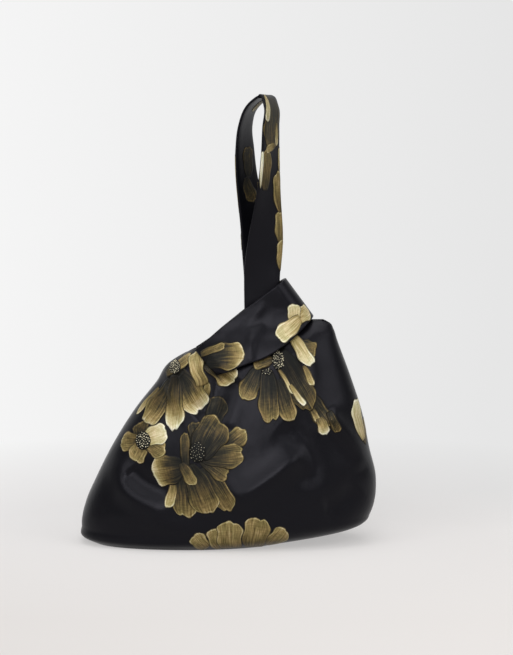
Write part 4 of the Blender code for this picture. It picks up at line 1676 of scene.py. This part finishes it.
@dataclass
class Tree:
    """The node tree of a material, with one way to add a node.

    Attributes:
        material: the material.
    """

    material: bpy.types.Material

    def __post_init__(self) -> None:
        """Empties the tree."""
        self.material.use_nodes = True
        self.nodes = self.material.node_tree.nodes
        self.links = self.material.node_tree.links
        self.nodes.clear()

    def add(self, kind: str, settings: dict[str, object] | None = None, **sockets: object) -> bpy.types.Node:
        """Adds a node.

        Args:
            kind: the node's type.
            settings: its own settings, with the stops of a ramp as "stops".
            sockets: values or sockets for its inputs, by name with underscores, or by number as i0, i1.

        Returns:
            The node.
        """
        node = self.nodes.new(kind)
        for name, value in (settings or {}).items():
            if name == "stops":
                while len(node.color_ramp.elements) < len(value):
                    node.color_ramp.elements.new(1)
                for element, (place, colour) in zip(node.color_ramp.elements, value):
                    element.position = place
                    element.color = (*colour, 1)
            else:
                setattr(node, name, value)
        for name, value in sockets.items():
            if name[0] == "i" and name[1:].isdigit():
                target = node.inputs[int(name[1:])]
            else:
                target = node.inputs[name.replace("_", " ")]
            self.join(value, target)
        return node

    def join(self, value: object, target: bpy.types.NodeSocket) -> None:
        """Links a socket to an input, or sets the input to a constant.

        Args:
            value: the socket, number or colour.
            target: the input.
        """
        if isinstance(value, Number):
            value = value.socket
        if isinstance(value, bpy.types.NodeSocket):
            self.links.new(value, target)
        elif target.type == "RGBA":
            target.default_value = (*value[:3], 1)
        else:
            target.default_value = value

    def number(self, socket: bpy.types.NodeSocket) -> "Number":
        """Wraps an output so that it can be reckoned with."""
        return Number(self, socket)

    def place(self) -> bpy.types.NodeSocket:
        """The place on the object, in metres."""
        return self.add("ShaderNodeTexCoord").outputs["Object"]

    def attribute(self, name: str) -> "Number":
        """A number kept on the piece's vertices."""
        return self.number(self.add("ShaderNodeAttribute", {"attribute_name": name}).outputs["Fac"])

    def ramp(self, place: "Number", stops: list[tuple[float, Colour]]) -> bpy.types.NodeSocket:
        """A colour picked along a row of stops."""
        return self.add("ShaderNodeValToRGB", {"stops": stops}, i0=place).outputs["Color"]

    def mix(self, share: "Number | float", first: object, second: object) -> bpy.types.NodeSocket:
        """Two colours mixed: none of the second at 0, nothing else at 1."""
        return self.add("ShaderNodeMix", {"data_type": "RGBA"}, i0=share, i6=first, i7=second).outputs[2]

    def tinted(self, colour: bpy.types.NodeSocket, tint: Colour) -> bpy.types.NodeSocket:
        """A colour multiplied part by part."""
        settings = {"data_type": "RGBA", "blend_type": "MULTIPLY"}
        return self.add("ShaderNodeMix", settings, i0=1.0, i6=colour, i7=tint).outputs[2]

    def scaled(self, vector: bpy.types.NodeSocket, scale: Spot) -> bpy.types.NodeSocket:
        """A place multiplied part by part."""
        return self.add("ShaderNodeVectorMath", {"operation": "MULTIPLY"}, i0=vector, i1=scale).outputs[0]

    def noise(self, vector: bpy.types.NodeSocket, scale: float, detail: float) -> "Number":
        """Cloudy noise from 0 to 1."""
        node = self.add("ShaderNodeTexNoise", Vector=vector, Scale=scale, Detail=detail, Roughness=0.55)
        return self.number(node.outputs[0])

    def bump(
        self,
        height: "Number",
        distance: float,
        strength: float,
        below: bpy.types.NodeSocket | None = None,
    ) -> bpy.types.NodeSocket:
        """The surface's normal, raised by a height.

        Args:
            height: the height, from 0 to 1.
            distance: how far 1 rises, in metres.
            strength: how strongly it shows.
            below: the normal that it is laid over.

        Returns:
            The normal.
        """
        sockets = {"Height": height, "Distance": distance, "Strength": strength}
        if below is not None:
            sockets["Normal"] = below
        return self.add("ShaderNodeBump", **sockets).outputs[0]

    def finish(self, shader: bpy.types.NodeSocket) -> bpy.types.Material:
        """Links the shader to the material's output."""
        self.add("ShaderNodeOutputMaterial", Surface=shader)
        return self.material

    def principled(self, **sockets: object) -> bpy.types.Material:
        """Ends the material with a shader of cloth or thread."""
        return self.finish(self.add("ShaderNodeBsdfPrincipled", **sockets).outputs[0])


@dataclass(frozen=True)
class Number:
    """A socket of numbers that can be added, multiplied and so on.

    Attributes:
        tree: the node tree that it is in.
        socket: the socket.
    """

    tree: Tree
    socket: bpy.types.NodeSocket

    def reckon(self, operation: str, first: object, second: object = 0.0, clamp: bool = False) -> "Number":
        """One step of arithmetic.

        Args:
            operation: what is done.
            first: the first number.
            second: the second number.
            clamp: whether the result is held between 0 and 1.

        Returns:
            The result.
        """
        settings = {"operation": operation, "use_clamp": clamp}
        node = self.tree.add("ShaderNodeMath", settings, i0=first, i1=second)
        return Number(self.tree, node.outputs[0])

    def __add__(self, other: object) -> "Number":
        """Sum."""
        return self.reckon("ADD", self, other)

    __radd__ = __add__

    def __mul__(self, other: object) -> "Number":
        """Product."""
        return self.reckon("MULTIPLY", self, other)

    __rmul__ = __mul__

    def __sub__(self, other: object) -> "Number":
        """Difference."""
        return self.reckon("SUBTRACT", self, other)

    def __rsub__(self, other: object) -> "Number":
        """Difference, the other way round."""
        return self.reckon("SUBTRACT", other, self)

    def __truediv__(self, other: object) -> "Number":
        """Quotient."""
        return self.reckon("DIVIDE", self, other)

    def __rtruediv__(self, other: object) -> "Number":
        """Quotient, the other way round."""
        return self.reckon("DIVIDE", other, self)

    def __pow__(self, other: object) -> "Number":
        """Power."""
        return self.reckon("POWER", self, other)

    def at_least(self, low: float) -> "Number":
        """The larger of the number and the given one."""
        return self.reckon("MAXIMUM", self, low)

    def clamped(self) -> "Number":
        """Held between 0 and 1."""
        return self.reckon("ADD", self, 0.0, True)


def tone(*screen: int) -> Colour:
    """The linear colour that a material takes.

    Args:
        screen: red, green and blue as screens show them, from 0 to 255.

    Returns:
        The colour.
    """
    straight_up_to = 10
    return tuple(
        part / 255 / 12.92 if part <= straight_up_to else ((part / 255 + 0.055) / 1.055) ** 2.4
        for part in screen
    )


def lighter(colour: Colour, times: float) -> Colour:
    """A colour made so many times as light."""
    return tuple(part * times for part in colour)


@dataclass(frozen=True)
class Satin:
    """Black satin ground: dark threads with a broad soft sheen.

    Attributes:
        colour: the darkest thread.
        light: how much lighter the lightest is.
        cloud: how many clouds of light and dark there are to a metre.
        crumple: how many small dents there are to a metre.
        thread: how many threads there are to a metre.
        roughness: how broad the sheen is.
        uneven: how much that varies.
        specular: how strong the sheen is.
        tint: its colour.
    """

    colour: Colour = tone(8, 8, 11)
    light: float = 1.7
    cloud: float = 22
    crumple: float = 55
    thread: float = 2600
    roughness: float = 0.34
    uneven: float = 0.10
    specular: float = 0.15
    tint: Colour = (0.90, 0.88, 1.0)

    def make(self) -> bpy.types.Material:
        """Makes the material.

        Returns:
            The material.
        """
        tree = Tree(bpy.data.materials.new("black_satin"))
        place = tree.place()
        flat = tree.add("ShaderNodeUVMap").outputs[0]
        cloud = tree.noise(place, self.cloud, 3)
        fibre = tree.noise(tree.scaled(flat, (1, 0.12, 1)), self.thread, 2)
        crumple = tree.bump(tree.noise(place, self.crumple, 4), 1.2 * MM, 0.35)
        return tree.principled(
            Base_Color=tree.mix(cloud, self.colour, lighter(self.colour, self.light)),
            Roughness=(cloud - 0.5) * self.uneven + (fibre - 0.5) * self.uneven + self.roughness,
            Specular_IOR_Level=self.specular,
            Specular_Tint=self.tint,
            Normal=tree.bump(fibre, 0.06 * MM, 0.5, crumple),
        )


@dataclass(frozen=True)
class GoldWeave:
    """Gold thread of the woven petals: bronze at the heart, gold to cream at the rim, with fine streaks, and
    a painted highlight just inside each petal's edge.

    Attributes:
        stops: its colours, from the darkest to the lightest.
        outline: the dark thread round each petal.
        outline_width: how wide that is, in mm.
        olive: tint of the greener patches.
    """

    stops: tuple[tuple[float, Colour], ...] = (
        (0.0, tone(15, 15, 14)),
        (0.17, tone(48, 42, 31)),
        (0.34, tone(99, 82, 50)),
        (0.54, tone(157, 135, 88)),
        (0.76, tone(208, 192, 153)),
        (1.0, tone(240, 232, 212)),
    )
    outline: Colour = tone(16, 15, 14)
    outline_width: float = 0.95
    olive: Colour = (0.88, 0.97, 0.90)

    def make(self) -> bpy.types.Material:
        """Makes the material.

        Returns:
            The material.
        """
        tree = Tree(bpy.data.materials.new("gold_weave"))
        flat = tree.add("ShaderNodeUVMap", {"uv_map": "petal"}).outputs[0]
        split = tree.add("ShaderNodeSeparateXYZ", Vector=flat)
        up = tree.number(split.outputs[1])
        bright, border, rim = (tree.attribute(name) for name in ("tone", "border", "rim"))
        streak = tree.noise(tree.scaled(flat, (46, 2.4, 1)), 1, 3)
        vein = tree.noise(tree.scaled(flat, (13, 1.3, 1)), 1, 2)
        patch = tree.noise(tree.scaled(flat, (2.6, 3.0, 1)), 1, 2)
        across = tree.noise(tree.scaled(flat, (3.5, 22, 1)), 1, 2)
        # edge is a painted highlight in a band just inside each petal's border, stronger towards the tip;
        # bright and rim carry painted light and shade besides the gold's own tone.
        edge = ((border - 0.5) / 0.5).clamped() * (1 - ((border - 1.3) / 1.2).clamped())
        place = bright + rim * up**2.0 - (1 - up) ** 3 * 0.12 + edge * up * 0.16
        place = place + (streak - 0.5) * 0.66 + (vein - 0.5) * 0.46 + (patch - 0.5) * 0.26
        place = place + (across - 0.5) * up * 0.30
        gold = tree.ramp(place.clamped(), list(self.stops))
        gold = tree.mix(((patch - 0.35) * 3).clamped(), tree.tinted(gold, self.olive), gold)
        line = (1 - border / self.outline_width).clamped() ** 0.6
        return tree.principled(
            Base_Color=tree.mix(line * 0.9, gold, self.outline),
            Roughness=(streak - 0.5) * 0.2 + 0.46,
            Metallic=0.2,
            Specular_IOR_Level=0.16,
            Normal=tree.bump(streak * 0.7 + vein * 0.3, 0.12 * MM, 0.6),
        )


@dataclass(frozen=True)
class Thread:
    """Pale gold thread of the dotted hearts.

    Attributes:
        colour: the lit thread.
        shade: the thread between.
        cloud: how many changes of shade there are to a metre.
    """

    colour: Colour = tone(214, 206, 176)
    shade: Colour = tone(70, 64, 52)
    cloud: float = 420

    def make(self) -> bpy.types.Material:
        """Makes the material.

        Returns:
            The material.
        """
        tree = Tree(bpy.data.materials.new("pale_thread"))
        cloud = tree.noise(tree.place(), self.cloud, 1)
        colour = tree.mix(((cloud - 0.25) * 3).clamped(), self.shade, self.colour)
        return tree.principled(Base_Color=colour, Roughness=0.4, Metallic=0.3)


@dataclass(frozen=True)
class Cotton:
    """Plain black lining.

    Attributes:
        colour: the darkest thread.
        light: how much lighter the lightest is.
        thread: how many threads there are to a metre.
    """

    colour: Colour = tone(20, 20, 23)
    light: float = 1.6
    thread: float = 1900

    def make(self) -> bpy.types.Material:
        """Makes the material.

        Returns:
            The material.
        """
        tree = Tree(bpy.data.materials.new("black_cotton"))
        weave = tree.noise(tree.place(), self.thread, 1)
        return tree.principled(
            Base_Color=tree.mix(weave, self.colour, lighter(self.colour, self.light)),
            Roughness=0.75,
            Normal=tree.bump(weave, 0.08 * MM, 0.5),
        )


# Studio


@dataclass(frozen=True)
class Lamp:
    """A soft rectangular lamp, aimed at the bag.

    Attributes:
        name: its name.
        place: where it hangs.
        size: its width and height.
        power: its power, in watts.
    """

    name: str
    place: Spot
    size: Pair
    power: float

    def build(self, aim: Vector) -> None:
        """Hangs the lamp.

        Args:
            aim: the point that it faces.
        """
        light = bpy.data.lights.new(self.name, "AREA")
        light.shape = "RECTANGLE"
        light.size, light.size_y = self.size
        light.energy = self.power
        lamp = bpy.data.objects.new(self.name, light)
        lamp.location = self.place
        lamp.rotation_euler = (aim - Vector(self.place)).to_track_quat("-Z", "Y").to_euler()
        bpy.context.scene.collection.objects.link(lamp)


@dataclass
class Studio:
    """The pale floor and backdrop, the lamps and the camera.

    Attributes:
        aim: the point that the camera and the lamps face.
        distance: how far away the camera stands.
        pitch: how steeply it looks down, in degrees.
        lens: its focal length, in mm.
        sensor: width of its picture, in mm.
        near: front edge of the floor.
        turn: place away from the bag where the floor turns up.
        radius: radius of that turn.
        wide: width of the floor.
        wall: height of the backdrop.
        floor: the floor's colour near the bag.
        daylight: strength of the even light from all around.
        left: tones of the paper at the left, in front of the bag, beside it and behind it, with the fall of
            the studio light painted into them.
        right: tones of the paper at the right, with the light painted in the same way.
        lamps: the lamps.
    """

    aim: Vector = field(default_factory=lambda: Vector((0.026, 0.0, 0.205)))
    distance: float = 1.9
    pitch: float = 6.0
    lens: float = 110.0
    sensor: float = 36.0
    near: float = -7.0
    turn: float = 2.4
    radius: float = 0.6
    wide: float = 14.0
    wall: float = 4.0
    floor: Colour = (0.67, 0.65, 0.64)
    daylight: float = 0.29
    left: tuple[tuple[float, int, int, int], ...] = (
        (-0.30, 227, 223, 220),
        (0.10, 247, 246, 246),
        (0.50, 245, 245, 245),
    )
    right: tuple[tuple[float, int, int, int], ...] = (
        (-0.30, 235, 231, 228),
        (0.05, 240, 238, 237),
        (0.25, 230, 230, 230),
    )
    lamps: tuple[Lamp, ...] = (
        Lamp("key", (-1.5, -1.5, 1.7), (1.5, 1.5), 18),
        Lamp("fill", (1.7, -1.2, 1.3), (1.4, 1.6), 16),
        Lamp("top", (0.1, -0.1, 2.1), (1.8, 1.6), 22),
        Lamp("front", (-0.1, -2.2, 1.35), (1.2, 1.6), 27),
    )

    def backdrop(self) -> bpy.types.Object:
        """Builds the floor, which turns up into the backdrop behind the bag.

        Returns:
            The floor.
        """
        columns, rows = 8, 60
        made, a, b = grid(columns, rows)
        length = self.turn - self.near
        arc = self.radius * math.pi / 2
        along_it = b * (length + arc + self.wall)
        angle = np.clip((along_it - length) / self.radius, 0, math.pi / 2)
        y = self.near + np.minimum(along_it, length) + self.radius * np.sin(angle)
        z = self.radius * (1 - np.cos(angle)) + np.maximum(along_it - length - arc, 0)
        move(made, np.stack([(a - 0.5) * self.wide, y, z], 1))
        return shaped("floor", made)

    def paper(self) -> bpy.types.Material:
        """Makes the floor's pale finish, which takes the shadow near the bag and is even further off. Its
        glow is painted
        light: the fall of the studio light across the paper and from front to back is painted into its
        tones, and near the bag half the floor is the glow, which paints the bag's shadow lighter.

        Returns:
            The material.
        """
        camera_away, nearest, widths = 1.89, 0.9, 3.9
        shadow_to, even_over = 0.25, 0.4
        tree = Tree(bpy.data.materials.new("pale_paper"))
        split = tree.add("ShaderNodeSeparateXYZ", Vector=tree.place())
        x, y = tree.number(split.outputs[0]), tree.number(split.outputs[1])
        floor = tree.add("ShaderNodeBsdfDiffuse", Color=self.floor)
        across = (x / (y + camera_away).at_least(nearest) * widths + 0.5).clamped()
        # The glow's tones paint the fall of the studio light: lighter or darker across the paper and from
        # front to back.
        sides = [
            tree.ramp((y + 0.5).clamped(), [(at + 0.5, tone(*parts)) for at, *parts in stops])
            for stops in (self.left, self.right)
        ]
        light = tree.add("ShaderNodeLightPath")
        rays = (light.outputs[f"Is {kind} Ray"] for kind in ("Camera", "Glossy", "Transmission"))
        seen = sum(tree.number(ray) for ray in rays)
        glow = tree.add("ShaderNodeEmission", Color=tree.mix(across, *sides), Strength=seen.clamped())
        # Near the bag half the floor is glow, which paints the bag's shadow lighter; further off it is all
        # glow.
        away = (x * x + y * y) ** 0.5
        share = ((away - shadow_to) / even_over).clamped() * 0.5 + 0.5
        shader = tree.add("ShaderNodeMixShader", i0=share, i1=floor.outputs[0], i2=glow.outputs[0])
        return tree.finish(shader.outputs[0])

    def sky(self) -> None:
        """Even pale light from all around."""
        world = bpy.data.worlds.new("room")
        bpy.context.scene.world = world
        world.use_nodes = True
        ground = world.node_tree.nodes["Background"]
        ground.inputs["Color"].default_value = (1, 1, 1, 1)
        ground.inputs["Strength"].default_value = self.daylight

    def camera(self) -> None:
        """Sets up the camera, as far away and as steep as in the photograph."""
        data = bpy.data.cameras.new("camera")
        data.lens = self.lens
        data.sensor_width = self.sensor
        pitch = math.radians(self.pitch)
        camera = bpy.data.objects.new("camera", data)
        camera.location = self.aim - Vector((0, math.cos(pitch), -math.sin(pitch))) * self.distance
        camera.rotation_euler = (math.pi / 2 - pitch, 0, 0)
        bpy.context.scene.collection.objects.link(camera)
        bpy.context.scene.camera = camera

    def build(self) -> None:
        """Sets up the whole studio."""
        floor = self.backdrop()
        floor.data.materials.append(self.paper())
        self.sky()
        for lamp in self.lamps:
            lamp.build(self.aim)
        self.camera()
        bpy.context.scene.view_settings.view_transform = "Standard"


def main() -> None:
    """Builds the bag and the studio."""
    logging.basicConfig(level=logging.INFO, format="%(message)s")
    satin, gold, thread, cotton = Satin().make(), GoldWeave().make(), Thread().make(), Cotton().make()
    form = BodyForm(*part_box("front_panel"))
    band, strap = Band(form), Strap(form)
    sheets = {}
    for maker in (Panel(Side.FRONT, form), Panel(Side.BACK, form), Lining(form), band, strap):
        piece = maker.build()
        maker.dress(piece, cotton if isinstance(maker, Lining) else satin)
        sheets[piece.name.removesuffix("_cloth")] = (piece, [])
        log.info("%s: %d faces", piece.name, len(piece.data.polygons))
    front = Brocade("front_flowers", form.wrap(Side.FRONT), FRONT_PETALS, FRONT_HEARTS)
    back = Brocade("back_flowers", form.wrap(Side.BACK)).with_blooms(BACK_BLOOMS)
    on_band = Brocade("band_flowers", band.surface(), BAND_PETALS).with_blooms(BAND_BLOOMS)
    outer = Brocade("outer_strap_flowers", strap.surface(Face.OUTER), OUTER_STRAP_PETALS)
    inner = Brocade("inner_strap_flowers", strap.surface(Face.INNER), INNER_STRAP_PETALS)
    for owner, flowers in (
        ("front_panel", front),
        ("back_panel", back),
        ("short_handle", on_band),
        ("long_handle", outer.with_blooms(STRAP_BLOOMS)),
        ("long_handle", inner),
    ):
        woven = [flowers.build()]
        dress(woven[0], gold)
        if flowers.stamens:
            woven.append(flowers.build_stamens())
            dress(woven[1], thread)
        sheets[owner][1].extend(woven)
        log.info("%s: %d petals", woven[0].name, len(flowers.petals))
    for name, (piece, woven) in sheets.items():
        CUTS[name].declare(piece, woven)
    Studio().build()


if __name__ == "__main__":
    main()
